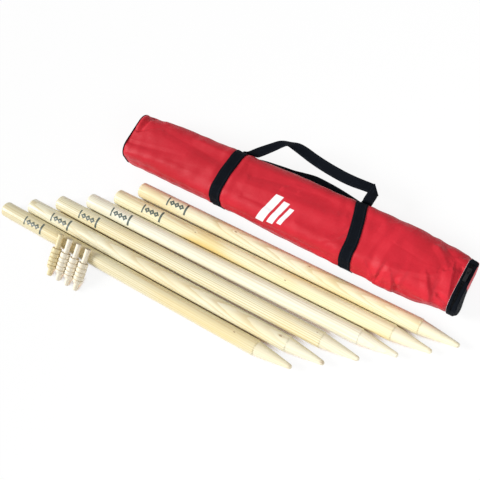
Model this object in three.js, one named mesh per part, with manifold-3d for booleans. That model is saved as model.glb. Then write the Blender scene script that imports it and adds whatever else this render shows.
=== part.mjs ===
// A wooden cricket stump set: six stumps and four bails beside their long red carrying bag.
// Millimetres, +Z up. X runs along the bag and the stumps, from the bag's closed end to its zip end.
// While it is built, x = 0 is the bag's closed end, y = 0 its front side and z = 0 the ground.
import * as THREE from 'three';
import { mergeVertices } from 'three/addons/utils/BufferGeometryUtils.js';
import Module from 'manifold-3d';

const wasm = await Module();
wasm.setup();

// Clearances
const seatGap = 0.3; // between pieces that touch or are sewn together
const cutOverrun = 3; // how far a cutting shape runs past what it cuts

// Stump
const stumpLength = 711;
const stumpRadius = 16;
const stumpPointLength = 75.6; // shoulder to tip
const stumpShoulderStep = 1.4; // radius lost at the shoulder
const stumpShoulderRun = 2.2; // length of the sloping step
const stumpTipRadius = 5; // of the rounded tip
const stumpDomeHeight = 4.5;
const bailGrooveRadius = 6.4;
const bailGrooveDepth = 4;
const stumpSides = 28;
const domeSteps = 4;
const tipSteps = 4;
const grooveSides = 16;

// Bail
const bailBarrelLength = 44.5;
const bailBarrelRadius = 10.7;
const bailLongSpigotLength = 30;
const bailLongSpigotRadius = 5.8;
const bailShortSpigotLength = 14.5;
const bailShortSpigotRadius = 5.2;
const bailTurnedGrooveDepth = 1.7;
const bailTurnedGrooveWidth = 2.4;
const bailEndChamfer = 1;
const bailBeads = 5;
const bailFootTaper = 3.6; // length of the cone from the lowest bead to the short spigot
const bailFootRadius = 7; // where that cone ends
const bailApart = 1.3; // between the barrels of neighbouring bails
const bailFirstPlace = 172; // from the top of the stump that the bails lean on
const bailSides = 18;

// Bag
const bagLength = 725; // closed end to the edge of the zip opening
const bagDepth = 123; // at its widest
const bagHeight = 78;
const bagCornerRadius = 24;
const bagCrown = 2.6; // how far a long side bulges
const bagWall = 1.5;
const pipingRadius = 1.6;
const pipingSides = 6;
const bagToStumpsLeft = 8.5; // from the bag's widest front to the nearest stump, at the stumps' tops
const bagToStumpsRight = 18.5; // the same at their tips
const sideSteps = 4; // of a bag ring's flat sides
const cornerSteps = 6; // of its rounded corners

// Webbing straps and handles
const webbingWidth = 21;
const webbingThickness = 1.5;
const strapLeftPlace = 228.5; // from the closed end to the left strap's middle, at the bag's front
const strapLeftLean = -4; // towards the closed end, at the bag's far side
const strapRightPlace = 518.5;
const strapRightLean = 22;
const handleUpperReach = 54; // from the bag's widest far side out to the webbing's middle line
const handleUpperEndHeight = 60; // where the upper handle leaves the straps
const handleUpperSagHeight = 50; // of its lowest stretch
const handleLowerReach = 21;
const handleLowerEndHeight = 9;
const handleSteps = 44;

// Zip end
const zipTapeWidth = 4.5;
const zipTapeThickness = 0.9;
const zipToothPitch = 5.6;
const zipToothReach = 1.9;
const zipToothThickness = 1.7;
const zipChainWidth = 1.8; // the solid edge that the teeth stand on
const flapCrown = 2.6; // how far the end panel bulges
const flapWall = 1.5;
const hingeStripThickness = 1;

// Slider and puller
const sliderLength = 11; // along the zip
const sliderCorner = 1.5;
const sliderWingThickness = 1.3;
const sliderSkirtThickness = 0.9;
const bridgeWidth = 2.2;
const bridgeThickness = 0.9;
const bridgeLength = 7;
const bridgeClear = 2.7;
const pullerLength = 23;
const pullerWidth = 6.4;
const pullerThickness = 1.2;
const pullerGripThickness = 2.2;
const pullerBar = 1.3; // the bar of the puller that turns under the bridge
const pullerHoleLength = 6;
const pullerCorner = 1.4;
const pullerGripLength = 12;
const pullerSideClear = 0.6; // between the bridge and each side of the puller's hole
const stopLength = 3;
const stopThickness = 2.1;

// Shares that set outlines and places, chosen by hand
const stumpTopShares = [-0.272, -0.202, -0.128, -0.045, 0.025, 0.079]; // of the stump's length, from x = 0
const stumpGapNearTopShares = [0.03, 0.08, 0.03, 0.09, 0.31]; // of the radius, at the left reference line
const stumpGapNearTipShares = [0.26, 0.39, 0.49, 0.13, 0.04]; // of the radius, at the right reference line
const bailTurnShares = [0.08, 0.07, 0.06, 0.05]; // lean in plan, sideways over forwards
const bailContactShare = 0.45; // where the long spigot crosses the stump, from the barrel's shoulder
const beadBulgeShares = [0.93, 1, 1, 1, 0.95]; // of the barrel's radius, for each bead
// Bag outline along its length: place, depth, lift of the base, top, crown, and shift to the far side
const bagStationShares = [
  [0, 0.8, 0.055, 0.95, 0, 0],
  [0.014, 0.825, 0.035, 0.975, 0.4, 0],
  [0.05, 0.84, 0.012, 0.99, 0.8, 0.008],
  [0.14, 0.885, 0, 1, 1, 0.026],
  [0.34, 0.905, 0, 1, 1, 0.025],
  [0.5, 0.96, 0, 1, 1, 0.026],
  [0.65, 0.975, 0, 1, 1, 0.009],
  [0.76, 1, 0, 1, 1, 0.019],
  [0.91, 0.95, 0.006, 0.97, 0.85, 0.006],
  [0.96, 0.885, 0.03, 0.93, 0.5, 0.002],
  [0.985, 0.855, 0.05, 0.895, 0.2, 0],
  [1, 0.825, 0.055, 0.87, 0, 0],
];
const strapLeanStartShare = 0.235; // of the depth, where a strap starts to lean
const strapLeanEndShare = 0.98;
const strapLeanPower = 1.5;

// End panel from its edge to its middle: share of the rim, of the crown, and of the corner radius drawn in
const flapShares = [
  [0, 0, 0],
  [1, 0, 0],
  [1, 0.667, 0.3],
  [1, 1, 0.75],
];
const flapRimShare = 0.9; // the end panel's straight rim, of the zip tape's width
const toothShares = [0.08, 0.16, 0.38, 0.46]; // a tooth's root, two tip corners and root, of the pitch
const teethFlapPhaseShare = 0.5; // the flap's teeth stand between the body's
const handleEndShare = 0.7; // of the webbing's thickness, how far a handle's end spreads up and down
const handleSquareShare = 0.06; // of a handle's route, over which its end turns square to the bag

// Handle routes: along from strap to strap, out, and down from the ends to the lowest stretch
const handleUpperShares = [
  [0, 0, 0],
  [0.015, 0.1, 0],
  [0.06, 0.26, 0.05],
  [0.128, 0.45, 0.1],
  [0.205, 0.72, 0.1],
  [0.265, 0.94, 0.05],
  [0.345, 1, 0],
  [0.44, 0.9, 0],
  [0.54, 0.81, 0.1],
  [0.66, 0.72, 0.2],
  [0.785, 0.65, 0.3],
  [0.89, 0.63, 0.3],
  [0.975, 0.6, 0.25],
  [1.01, 0.44, 0.15],
  [1.01, 0.2, 0.05],
  [1, 0, 0],
];
const handleLowerShares = [
  [0, 0, 0],
  [0.005, 0.15, 0.4],
  [0.03, 0.32, 0.85],
  [0.1, 0.46, 1],
  [0.24, 0.62, 1],
  [0.34, 0.7, 1],
  [0.49, 1, 1],
  [0.56, 1, 1],
  [0.68, 0.86, 1],
  [0.78, 0.7, 1],
  [0.87, 0.5, 1],
  [0.95, 0.36, 0.85],
  [0.995, 0.16, 0.4],
  [1, 0, 0],
];

// Places worked out from the sizes
const bagBase = webbingThickness + seatGap; // the bag lies on its straps
const bagMiddle = bagDepth / 2;
const zipStart = bagLength - zipTapeWidth; // where the body's tape starts
const flapRim = zipTapeWidth * flapRimShare;
const teethBodyStart = bagLength + seatGap;
const teethPlace = teethBodyStart + zipChainWidth;
const teethFlapStart = teethPlace + zipToothReach + seatGap;
const flapStart = teethFlapStart + zipChainWidth + seatGap;
const stumpLineLeft = stumpTopShares[0] * stumpLength;
const stumpLineRight = stumpTopShares[5] * stumpLength + stumpLength;

const colours = {
  wood: 0xe8d5a3,
  bailWood: 0xe6cfa0,
  red: 0xc42a3c,
  webbing: 0x10151c,
  tape: 0x0c0f14,
  metal: 0x2a2c30,
};

function material(name) {
  const metal = name === 'metal';
  return new THREE.MeshStandardMaterial({
    color: colours[name],
    roughness: metal ? 0.4 : 0.75,
    metalness: metal ? 0.8 : 0,
  });
}

function named(name, geometry, colour) {
  const mesh = new THREE.Mesh(geometry, material(colour));
  mesh.name = name;
  return mesh;
}

// Faces out, checked by the signed volume
function facingOut(geometry) {
  const place = geometry.attributes.position;
  const index = geometry.index.array;
  const corners = [new THREE.Vector3(), new THREE.Vector3(), new THREE.Vector3()];
  let volume = 0;
  for (let i = 0; i < index.length; i += 3) {
    corners.forEach((corner, k) => corner.fromBufferAttribute(place, index[i + k]));
    volume += corners[0].dot(corners[1].clone().cross(corners[2]));
  }
  if (volume < 0) {
    for (let i = 0; i < index.length; i += 3) {
      const kept = index[i + 1];
      index[i + 1] = index[i + 2];
      index[i + 2] = kept;
    }
  }
  geometry.computeVertexNormals();
  return geometry;
}

// One closed body through rings of points that have the same count. A closed run joins its last ring
// to its first; an open one is capped at both ends.
function loft(rings, closedRun = false) {
  const count = rings[0].length;
  const points = rings.flat();
  const faces = [];
  const last = closedRun ? rings.length : rings.length - 1;
  for (let i = 0; i < last; i += 1) {
    const here = i * count;
    const next = ((i + 1) % rings.length) * count;
    for (let k = 0; k < count; k += 1) {
      const turn = (k + 1) % count;
      faces.push(here + k, here + turn, next + turn);
      faces.push(here + k, next + turn, next + k);
    }
  }
  if (!closedRun) {
    for (const [start, flip] of [[0, true], [(rings.length - 1) * count, false]]) {
      const middle = points.length;
      const centre = new THREE.Vector3();
      for (let k = 0; k < count; k += 1) centre.add(points[start + k]);
      points.push(centre.divideScalar(count));
      for (let k = 0; k < count; k += 1) {
        const turn = (k + 1) % count;
        faces.push(middle, start + (flip ? turn : k), start + (flip ? k : turn));
      }
    }
  }
  const geometry = new THREE.BufferGeometry();
  geometry.setAttribute('position', new THREE.Float32BufferAttribute(points.flatMap((p) => p.toArray()), 3));
  geometry.setIndex(faces);
  return facingOut(geometry);
}

function toSolid(geometry) {
  const bare = geometry.clone();
  bare.deleteAttribute('normal');
  bare.deleteAttribute('uv');
  const merged = mergeVertices(bare);
  const mesh = new wasm.Mesh({
    numProp: 3,
    vertProperties: Float32Array.from(merged.attributes.position.array),
    triVerts: Uint32Array.from(merged.index.array),
  });
  mesh.merge();
  return new wasm.Manifold(mesh);
}

function fromSolid(solid) {
  const mesh = solid.getMesh();
  const geometry = new THREE.BufferGeometry();
  geometry.setAttribute('position', new THREE.Float32BufferAttribute(mesh.vertProperties, 3));
  geometry.setIndex(Array.from(mesh.triVerts));
  return facingOut(geometry);
}

// Turned work: a profile of [distance along, radius] spun about X
function turned(profile, sides) {
  const points = profile.map(([along, radius]) => new THREE.Vector2(radius, along));
  const geometry = new THREE.LatheGeometry(points, sides);
  geometry.rotateZ(-Math.PI / 2);
  return geometry;
}

// A stump lies along +X with its top at x = 0
function stumpGeometry() {
  const shoulder = stumpLength - stumpPointLength;
  const pointRadius = stumpRadius - stumpShoulderStep;
  const tipCentre = stumpLength - stumpTipRadius;
  const profile = [[0, 0]];
  for (let i = 1; i <= domeSteps; i += 1) {
    const angle = (i / domeSteps) * (Math.PI / 2);
    profile.push([stumpDomeHeight * (1 - Math.cos(angle)), stumpRadius * Math.sin(angle)]);
  }
  profile.push([shoulder - stumpShoulderRun, stumpRadius]);
  profile.push([shoulder, pointRadius]);
  const tipLean = Math.asin((pointRadius - stumpTipRadius) / stumpPointLength);
  for (let i = 0; i < tipSteps; i += 1) {
    const angle = tipLean + (i / tipSteps) * (Math.PI / 2 - tipLean);
    profile.push([tipCentre + stumpTipRadius * Math.sin(angle), stumpTipRadius * Math.cos(angle)]);
  }
  profile.push([stumpLength, 0]);
  const body = toSolid(turned(profile, stumpSides));
  const grooveLength = 2 * (stumpRadius + cutOverrun);
  const groove = new THREE.CylinderGeometry(bailGrooveRadius, bailGrooveRadius, grooveLength, grooveSides);
  groove.translate(bailGrooveDepth - bailGrooveRadius, 0, 0);
  return fromSolid(body.subtract(toSolid(groove)));
}

// A bail lies along +X with its short spigot's end at x = 0
function bailGeometry() {
  const barrelStart = bailShortSpigotLength;
  const barrelEnd = barrelStart + bailBarrelLength;
  const end = barrelEnd + bailLongSpigotLength;
  const beadLength = bailBarrelLength / bailBeads;
  const half = bailTurnedGrooveWidth / 2;
  const profile = [[0, 0]];
  profile.push([0, bailShortSpigotRadius - bailEndChamfer]);
  profile.push([bailEndChamfer, bailShortSpigotRadius]);
  profile.push([barrelStart, bailShortSpigotRadius]);
  for (let i = 0; i < bailBeads; i += 1) {
    const radius = bailBarrelRadius * beadBulgeShares[i];
    const start = barrelStart + i * beadLength;
    const first = i === 0;
    const last = i === bailBeads - 1;
    profile.push([start, first ? bailFootRadius : radius - bailTurnedGrooveDepth]);
    profile.push([start + (first ? bailFootTaper : half), radius]);
    profile.push([start + beadLength - (last ? bailEndChamfer : half), radius]);
  }
  profile.push([barrelEnd, bailBarrelRadius - bailTurnedGrooveDepth]);
  profile.push([barrelEnd, bailLongSpigotRadius]);
  profile.push([end - bailEndChamfer, bailLongSpigotRadius]);
  profile.push([end, bailLongSpigotRadius - bailEndChamfer]);
  profile.push([end, 0]);
  return turned(profile, bailSides);
}

// The bag's outline at x, as shares between the stations
function bagStation(x) {
  const share = THREE.MathUtils.clamp(x / bagLength, 0, 1);
  let i = 1;
  while (i < bagStationShares.length - 1 && bagStationShares[i][0] < share) i += 1;
  const before = bagStationShares[i - 1];
  const after = bagStationShares[i];
  const t = (share - before[0]) / (after[0] - before[0]);
  return before.map((value, k) => THREE.MathUtils.lerp(value, after[k], t));
}

// A ring round the bag at x, from the far side's middle over the top to the front and back below.
// offset moves it out of the cloth, or in where it is negative; inset draws the whole ring in.
function bagRing(x, offset, inset = 0) {
  const [, depthShare, liftShare, topShare, crownShare, shiftShare] = bagStation(x);
  const depth = bagDepth * depthShare - 2 * inset;
  const low = bagBase + bagHeight * liftShare + inset;
  const high = bagBase + bagHeight * topShare - inset;
  const corner = Math.min(bagCornerRadius, (high - low) / 2, depth / 2);
  const crown = bagCrown * crownShare;
  const half = depth / 2 - corner;
  const middle = (low + high) / 2;
  const centreLine = bagMiddle + bagDepth * shiftShare;
  const rise = (high - low) / 2 - corner;
  const radius = corner + offset;
  const centres = [[half, rise, 0], [-half, rise, 1], [-half, -rise, 2], [half, -rise, 3]];
  const crowns = [crown, crown, 0, crown]; // top, front, bottom and far side
  const ring = [];
  const put = (y, z) => ring.push(new THREE.Vector3(x, centreLine + y, middle + z));
  put(half + radius + crown, 0);
  centres.forEach(([y, z, quarter]) => {
    for (let i = 0; i <= cornerSteps; i += 1) {
      const angle = (quarter + i / cornerSteps) * (Math.PI / 2);
      put(y + radius * Math.cos(angle), z + radius * Math.sin(angle));
    }
    if (quarter === 3) return;
    const [nextY, nextZ] = centres[quarter + 1];
    const out = (quarter + 1) * (Math.PI / 2);
    for (let i = 1; i < sideSteps; i += 1) {
      const t = i / sideSteps;
      const bulge = radius + crowns[quarter] * Math.sin(Math.PI * t);
      put(
        THREE.MathUtils.lerp(y, nextY, t) + bulge * Math.cos(out),
        THREE.MathUtils.lerp(z, nextZ, t) + bulge * Math.sin(out),
      );
    }
  });
  return ring;
}

// The part of a ring that the zip follows: from the far top corner round to the far bottom corner
const zipFirst = 1 + Math.floor(cornerSteps / 2);
const zipLast = 3 * (cornerSteps + sideSteps) + Math.ceil(cornerSteps / 2) + 1;

function bagShell() {
  const places = bagStationShares.map(([share]) => share * bagLength);
  places[0] = bagWall + seatGap;
  const outer = places.map((x) => bagRing(x, 0));
  const inner = places.map((x) => bagRing(x, -bagWall)).reverse();
  return loft([...outer, ...inner], true);
}

function closedEnd() {
  return loft([bagRing(0, 0), bagRing(bagWall, 0)]);
}

// Piping: a thin round cord all round the closed end's seam
function endPiping() {
  const x = bagWall;
  const outward = seatGap + pipingRadius;
  const near = bagRing(x, outward);
  const far = bagRing(x, outward + pipingRadius);
  const rings = near.map((centre, i) => {
    const out = far[i].clone().sub(centre).setLength(pipingRadius);
    const ring = [];
    for (let k = 0; k < pipingSides; k += 1) {
      const angle = (k / pipingSides) * 2 * Math.PI;
      const place = centre.clone().addScaledVector(out, Math.cos(angle));
      place.x += pipingRadius * Math.sin(angle);
      ring.push(place);
    }
    return ring;
  });
  return loft(rings, true);
}

// A ring round the bag whose far side leans towards the closed end
function leaningRing(x, offset, lean) {
  const square = bagRing(x, offset);
  if (!lean) return square;
  return square.map((point, i) => {
    const out = (point.y / bagDepth - strapLeanStartShare) / (strapLeanEndShare - strapLeanStartShare);
    const share = THREE.MathUtils.clamp(out, 0, 1) ** strapLeanPower;
    return bagRing(x - lean * share, offset)[i];
  });
}

// A band of cloth round the bag from x to x + width, all round or only where the zip runs
function band(x, width, thickness, { first, last, lean = 0 } = {}) {
  const near = leaningRing(x, seatGap, lean);
  const nearOut = leaningRing(x, seatGap + thickness, lean);
  const far = leaningRing(x + width, seatGap, lean);
  const farOut = leaningRing(x + width, seatGap + thickness, lean);
  const rings = near.map((point, i) => [point, nearOut[i], farOut[i], far[i]]);
  if (first === undefined) return loft(rings, true);
  return loft(rings.slice(first, last + 1));
}

// A row of zip teeth: a solid edge whose teeth stand towards the other row
function teethRow(x, reach, phase) {
  const low = bagRing(bagLength, seatGap);
  const high = bagRing(bagLength, seatGap + zipToothThickness);
  const edge = x + (reach > 0 ? 0 : zipChainWidth);
  const base = x + (reach > 0 ? zipChainWidth : 0);
  const lengths = [0];
  for (let i = zipFirst + 1; i <= zipLast; i += 1) {
    lengths.push(lengths[lengths.length - 1] + low[i].distanceTo(low[i - 1]));
  }
  const total = lengths[lengths.length - 1];
  const at = (run, ring) => {
    let k = 1;
    while (k < lengths.length - 1 && lengths[k] < run) k += 1;
    const t = (run - lengths[k - 1]) / (lengths[k] - lengths[k - 1]);
    return ring[zipFirst + k - 1].clone().lerp(ring[zipFirst + k], t);
  };
  const rings = [];
  const put = (run, tip) => {
    const inside = at(run, low);
    const outside = at(run, high);
    const level = (point, place) => new THREE.Vector3(place, point.y, point.z);
    rings.push([level(inside, edge), level(outside, edge), level(outside, tip), level(inside, tip)]);
  };
  const teeth = Math.floor(total / zipToothPitch);
  put(0, base);
  for (let i = 0; i < teeth; i += 1) {
    toothShares.forEach((share, k) => {
      const tip = k === 1 || k === 2 ? base + reach : base;
      put((i + share + phase) * zipToothPitch, tip);
    });
  }
  put(total, base);
  return loft(rings);
}

function endFlap() {
  const places = flapShares.map(([rim, crown, corner]) => [
    flapStart + flapRim * rim + flapCrown * crown,
    bagCornerRadius * corner,
  ]);
  const inner = places.map(([x, inset], i) => flapRing(x - (i ? flapWall : 0), -flapWall, inset));
  const outer = places.map(([x, inset]) => flapRing(x, 0, inset));
  return loft([...inner.reverse(), ...outer]);
}

// The flap follows the bag's outline at the zip opening
function flapRing(x, offset, inset) {
  return bagRing(bagLength, offset, inset).map((point) => new THREE.Vector3(x, point.y, point.z));
}

// The far side's strip, between the two ends of the zip
function flapHinge() {
  const near = bagRing(zipStart, seatGap);
  const nearOut = bagRing(zipStart, seatGap + hingeStripThickness);
  const far = bagRing(bagLength, seatGap);
  const farOut = bagRing(bagLength, seatGap + hingeStripThickness);
  const count = near.length;
  const rings = [];
  const edge = flapStart - seatGap;
  for (let i = zipLast + 2; i <= count + zipFirst - 2; i += 1) {
    const k = i % count;
    const farIn = new THREE.Vector3(edge, far[k].y, far[k].z);
    const farOutside = new THREE.Vector3(edge, farOut[k].y, farOut[k].z);
    rings.push([near[k], nearOut[k], farOutside, farIn]);
  }
  return loft(rings);
}

// Webbing along a route of points, flat side up, its ends cut square to the bag
function webbing(route) {
  const curve = new THREE.CatmullRomCurve3(route, false, 'centripetal');
  const rings = [];
  for (let i = 0; i <= handleSteps; i += 1) {
    const t = i / handleSteps;
    const centre = curve.getPoint(t);
    const along = curve.getTangent(t);
    const level = new THREE.Vector3(0, 0, 1).cross(along).normalize();
    const square = new THREE.Vector3(Math.sign(t - 1 / 2), 0, 0);
    const settled = Math.min(1, t / handleSquareShare, (1 - t) / handleSquareShare);
    const across = square.lerp(level, settled).normalize();
    const up = along.clone().cross(across).normalize();
    const side = across.multiplyScalar(webbingWidth / 2);
    const half = up.multiplyScalar(webbingThickness / 2);
    rings.push([
      centre.clone().add(side).add(half),
      centre.clone().sub(side).add(half),
      centre.clone().sub(side).sub(half),
      centre.clone().add(side).sub(half),
    ]);
  }
  return loft(rings);
}

const straps = {
  left: { place: strapLeftPlace, lean: strapLeftLean },
  right: { place: strapRightPlace, lean: strapRightLean },
};

// How far out a strap's outer face is on the far side, at a height and a distance off its middle line
function strapFace({ place, lean }, height, aside) {
  const ring = leaningRing(place + aside, seatGap + webbingThickness, lean);
  const far = ring.filter((point) => point.y > bagMiddle).sort((a, b) => a.z - b.z);
  let i = 1;
  while (i < far.length - 1 && far[i].z < height) i += 1;
  const t = (height - far[i - 1].z) / (far[i].z - far[i - 1].z);
  return THREE.MathUtils.lerp(far[i - 1].y, far[i].y, t);
}

// Where a handle leaves a strap at a height: just clear of the strap over the webbing's whole end
function handleEnd(strap, height) {
  const spread = webbingThickness * handleEndShare;
  const faces = [];
  for (const side of [-1, 0, 1]) {
    for (const rise of [-spread, spread]) {
      faces.push(strapFace(strap, height + rise, (side * webbingWidth) / 2));
    }
  }
  return new THREE.Vector3(strap.place - strap.lean, Math.max(...faces) + seatGap, height);
}

// A handle leaves one strap, runs out and along the bag, and comes back to the other. Its route has
// shares of the way along, of the reach out, and of the drop from its ends to its lowest stretch.
function handle(shares, endHeight, sagHeight, reach) {
  const start = handleEnd(straps.left, endHeight);
  const end = handleEnd(straps.right, endHeight);
  const outermost = bagDepth + reach;
  return webbing(shares.map(([along, out, drop]) => {
    const place = start.clone().lerp(end, along);
    place.y = THREE.MathUtils.lerp(place.y, outermost, out);
    place.z = THREE.MathUtils.lerp(endHeight, sagHeight, drop);
    return place;
  }));
}

function roundedBox(width, length, height, corner) {
  const shape = new THREE.Shape();
  const x = width / 2 - corner;
  const y = length / 2 - corner;
  shape.absarc(x, y, corner, 0, Math.PI / 2);
  shape.absarc(-x, y, corner, Math.PI / 2, Math.PI);
  shape.absarc(-x, -y, corner, Math.PI, 1.5 * Math.PI);
  shape.absarc(x, -y, corner, 1.5 * Math.PI, 2 * Math.PI);
  return new THREE.ExtrudeGeometry(shape, { depth: height, bevelEnabled: false, curveSegments: 3 });
}

// The slider rides over both rows of teeth, at the far end of the zip's straight run over the top
const chainMiddle = (teethBodyStart + teethFlapStart + zipChainWidth) / 2;
const chainHalf = (teethFlapStart + zipChainWidth - teethBodyStart) / 2;
const zipTopStation = bagStation(bagLength);
const zipTop = bagBase + bagHeight * zipTopStation[3];
const zipRunHalf = (bagDepth * zipTopStation[1]) / 2 - bagCornerRadius;
const zipMiddle = bagMiddle + bagDepth * zipTopStation[5];
const sliderPlace = zipMiddle + zipRunHalf - sliderLength / 2;
const wingLow = zipTop + seatGap + zipToothThickness + seatGap;
const wingTop = wingLow + sliderWingThickness;
const skirtLow = zipTop + seatGap + zipTapeThickness + seatGap;
const sliderWidth = 2 * (chainHalf + seatGap + sliderSkirtThickness);

function zipSlider() {
  const wing = roundedBox(sliderWidth, sliderLength, sliderWingThickness, sliderCorner);
  wing.translate(0, 0, wingLow);
  let body = toSolid(wing);
  for (const side of [-1, 1]) {
    const height = wingTop - skirtLow;
    const length = sliderLength - 2 * sliderCorner;
    const skirt = new THREE.BoxGeometry(sliderSkirtThickness, length, height);
    skirt.translate(side * (sliderWidth - sliderSkirtThickness) / 2, 0, skirtLow + height / 2);
    body = body.add(toSolid(skirt));
  }
  const arch = new THREE.Shape();
  const outer = bridgeLength / 2;
  const rise = bridgeClear + bridgeThickness;
  const inner = outer - bridgeThickness;
  arch.moveTo(-outer, -sliderWingThickness / 2);
  arch.lineTo(-outer, rise - bridgeThickness);
  arch.quadraticCurveTo(-outer, rise, -inner, rise);
  arch.lineTo(inner, rise);
  arch.quadraticCurveTo(outer, rise, outer, rise - bridgeThickness);
  arch.lineTo(outer, -sliderWingThickness / 2);
  arch.lineTo(inner, -sliderWingThickness / 2);
  arch.lineTo(inner, bridgeClear);
  arch.lineTo(-inner, bridgeClear);
  arch.lineTo(-inner, -sliderWingThickness / 2);
  arch.closePath();
  const options = { depth: bridgeWidth, bevelEnabled: false, curveSegments: 4 };
  const bridge = new THREE.ExtrudeGeometry(arch, options);
  bridge.translate(0, 0, -bridgeWidth / 2);
  bridge.rotateY(Math.PI / 2);
  bridge.rotateX(Math.PI / 2);
  bridge.translate(0, 0, wingTop);
  body = body.add(toSolid(bridge));
  const geometry = fromSolid(body);
  geometry.translate(chainMiddle, sliderPlace, 0);
  return geometry;
}

// The puller lies towards the front, and its bar turns under the slider's bridge
const pullerPivotHeight = wingTop + bridgeClear / 2;

function zipPuller() {
  const plate = roundedBox(pullerWidth, pullerLength, pullerThickness, pullerCorner);
  plate.translate(0, (pullerBar - pullerLength) / 2, -pullerThickness / 2);
  const holeWidth = bridgeWidth + 2 * pullerSideClear;
  const hole = new THREE.BoxGeometry(holeWidth, pullerHoleLength, pullerThickness + 2 * cutOverrun);
  hole.translate(0, -(pullerBar + pullerHoleLength) / 2, 0);
  const grip = roundedBox(pullerWidth, pullerGripLength, pullerGripThickness, pullerCorner);
  grip.translate(0, pullerBar / 2 - pullerLength + pullerGripLength / 2, -pullerGripThickness / 2);
  const geometry = fromSolid(toSolid(plate).subtract(toSolid(hole)).add(toSolid(grip)));
  geometry.translate(chainMiddle, sliderPlace, pullerPivotHeight);
  return geometry;
}

// A stop crimped on the body's row of teeth, just past its end
function zipStop(last) {
  const low = bagRing(bagLength, seatGap);
  const high = bagRing(bagLength, seatGap + stopThickness);
  const from = last ? zipLast : zipFirst;
  const to = last ? zipLast + 1 : zipFirst - 1;
  const room = low[from].distanceTo(low[to]);
  const edge = teethPlace + zipToothReach;
  const rings = [seatGap / room, (seatGap + stopLength) / room].map((t) => {
    const inside = low[from].clone().lerp(low[to], t);
    const outside = high[from].clone().lerp(high[to], t);
    return [
      new THREE.Vector3(teethBodyStart, inside.y, inside.z),
      new THREE.Vector3(teethBodyStart, outside.y, outside.z),
      new THREE.Vector3(edge, outside.y, outside.z),
      new THREE.Vector3(edge, inside.y, inside.z),
    ];
  });
  return loft(rings);
}

const group = new THREE.Group();

const stumpShape = stumpGeometry();
const bailShape = bailGeometry();
let leftLine = -bagToStumpsLeft - stumpRadius;
let rightLine = -bagToStumpsRight - stumpRadius;
for (let i = stumpTopShares.length - 1; i >= 0; i -= 1) {
  const top = stumpTopShares[i] * stumpLength;
  const slope = (rightLine - leftLine) / (stumpLineRight - stumpLineLeft);
  const place = new THREE.Group();
  place.position.set(top, leftLine + slope * (top - stumpLineLeft), stumpRadius);
  place.rotation.z = Math.atan(slope);
  place.add(named(`stump_${i + 1}`, stumpShape.clone(), 'wood'));
  if (i === 0) addBails(place);
  group.add(place);
  if (i > 0) {
    leftLine -= 2 * stumpRadius + stumpRadius * stumpGapNearTopShares[i - 1];
    rightLine -= 2 * stumpRadius + stumpRadius * stumpGapNearTipShares[i - 1];
  }
}

// The bails lean on stump 1: the foot is on the ground and the long spigot crosses over the stump
function addBails(stump) {
  const contact = bailShortSpigotLength + bailBarrelLength + bailContactShare * bailLongSpigotLength;
  const apart = stumpRadius + bailLongSpigotRadius + seatGap;
  const rise = apart - bailShortSpigotRadius;
  const lean = Math.atan2(rise, contact) + Math.asin(stumpRadius / Math.hypot(rise, contact));
  const reach = contact * Math.cos(lean) + apart * Math.sin(lean);
  const footHeight = bailShortSpigotRadius * Math.cos(lean) - stumpRadius;
  const pitch = 2 * bailBarrelRadius + bailApart;
  bailTurnShares.forEach((share, i) => {
    const turn = Math.atan(share);
    const foot = new THREE.Group();
    foot.position.set(bailFirstPlace + i * pitch, -reach, footHeight);
    foot.rotation.order = 'ZYX';
    foot.rotation.set(0, -Math.atan(Math.tan(lean) * Math.cos(turn)), Math.PI / 2 + turn);
    foot.add(named(`bail_${i + 1}`, bailShape.clone(), 'bailWood'));
    stump.add(foot);
  });
}

group.add(named('bag_shell', bagShell(), 'red'));
group.add(named('bag_closed_end', closedEnd(), 'red'));
group.add(named('bag_end_piping', endPiping(), 'webbing'));
for (const [name, { place, lean }] of Object.entries(straps)) {
  const strap = band(place - webbingWidth / 2, webbingWidth, webbingThickness, { lean });
  group.add(named(`bag_strap_${name}`, strap, 'webbing'));
}
const zipSpan = { first: zipFirst, last: zipLast };
const bodyTape = band(zipStart, zipTapeWidth, zipTapeThickness, zipSpan);
group.add(named('bag_zip_tape_body', bodyTape, 'tape'));
group.add(named('bag_zip_teeth_body', teethRow(teethBodyStart, zipToothReach, 0), 'tape'));
const flapTeeth = teethRow(teethFlapStart, -zipToothReach, teethFlapPhaseShare);
group.add(named('bag_zip_teeth_flap', flapTeeth, 'tape'));
const flapTape = band(bagLength, zipTapeWidth, zipTapeThickness, zipSpan);
flapTape.translate(flapStart - bagLength, 0, 0);
group.add(named('bag_zip_tape_flap', flapTape, 'tape'));
group.add(named('bag_end_flap', endFlap(), 'red'));
group.add(named('bag_flap_hinge', flapHinge(), 'tape'));

group.add(named('bag_zip_slider', zipSlider(), 'metal'));
group.add(named('bag_zip_puller', zipPuller(), 'metal'));
group.add(named('bag_zip_stop_start', zipStop(false), 'metal'));
group.add(named('bag_zip_stop_end', zipStop(true), 'metal'));

const upperHandle = handle(handleUpperShares, handleUpperEndHeight, handleUpperSagHeight, handleUpperReach);
group.add(named('bag_handle_upper', upperHandle, 'webbing'));
const lyingHeight = webbingThickness;
const lowerHandle = handle(handleLowerShares, handleLowerEndHeight, lyingHeight, handleLowerReach);
group.add(named('bag_handle_lower', lowerHandle, 'webbing'));

// The origin is the middle of the whole set's outline on the ground
const outline = new THREE.Box3().setFromObject(group, true);
const outlineMiddle = outline.getCenter(new THREE.Vector3());
group.position.set(-outlineMiddle.x, -outlineMiddle.y, -outline.min.z);
group.updateMatrixWorld(true);

export default group;
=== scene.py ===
import math

import bmesh
import bpy
import numpy as np
from mathutils import Matrix, Quaternion, Vector


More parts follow.
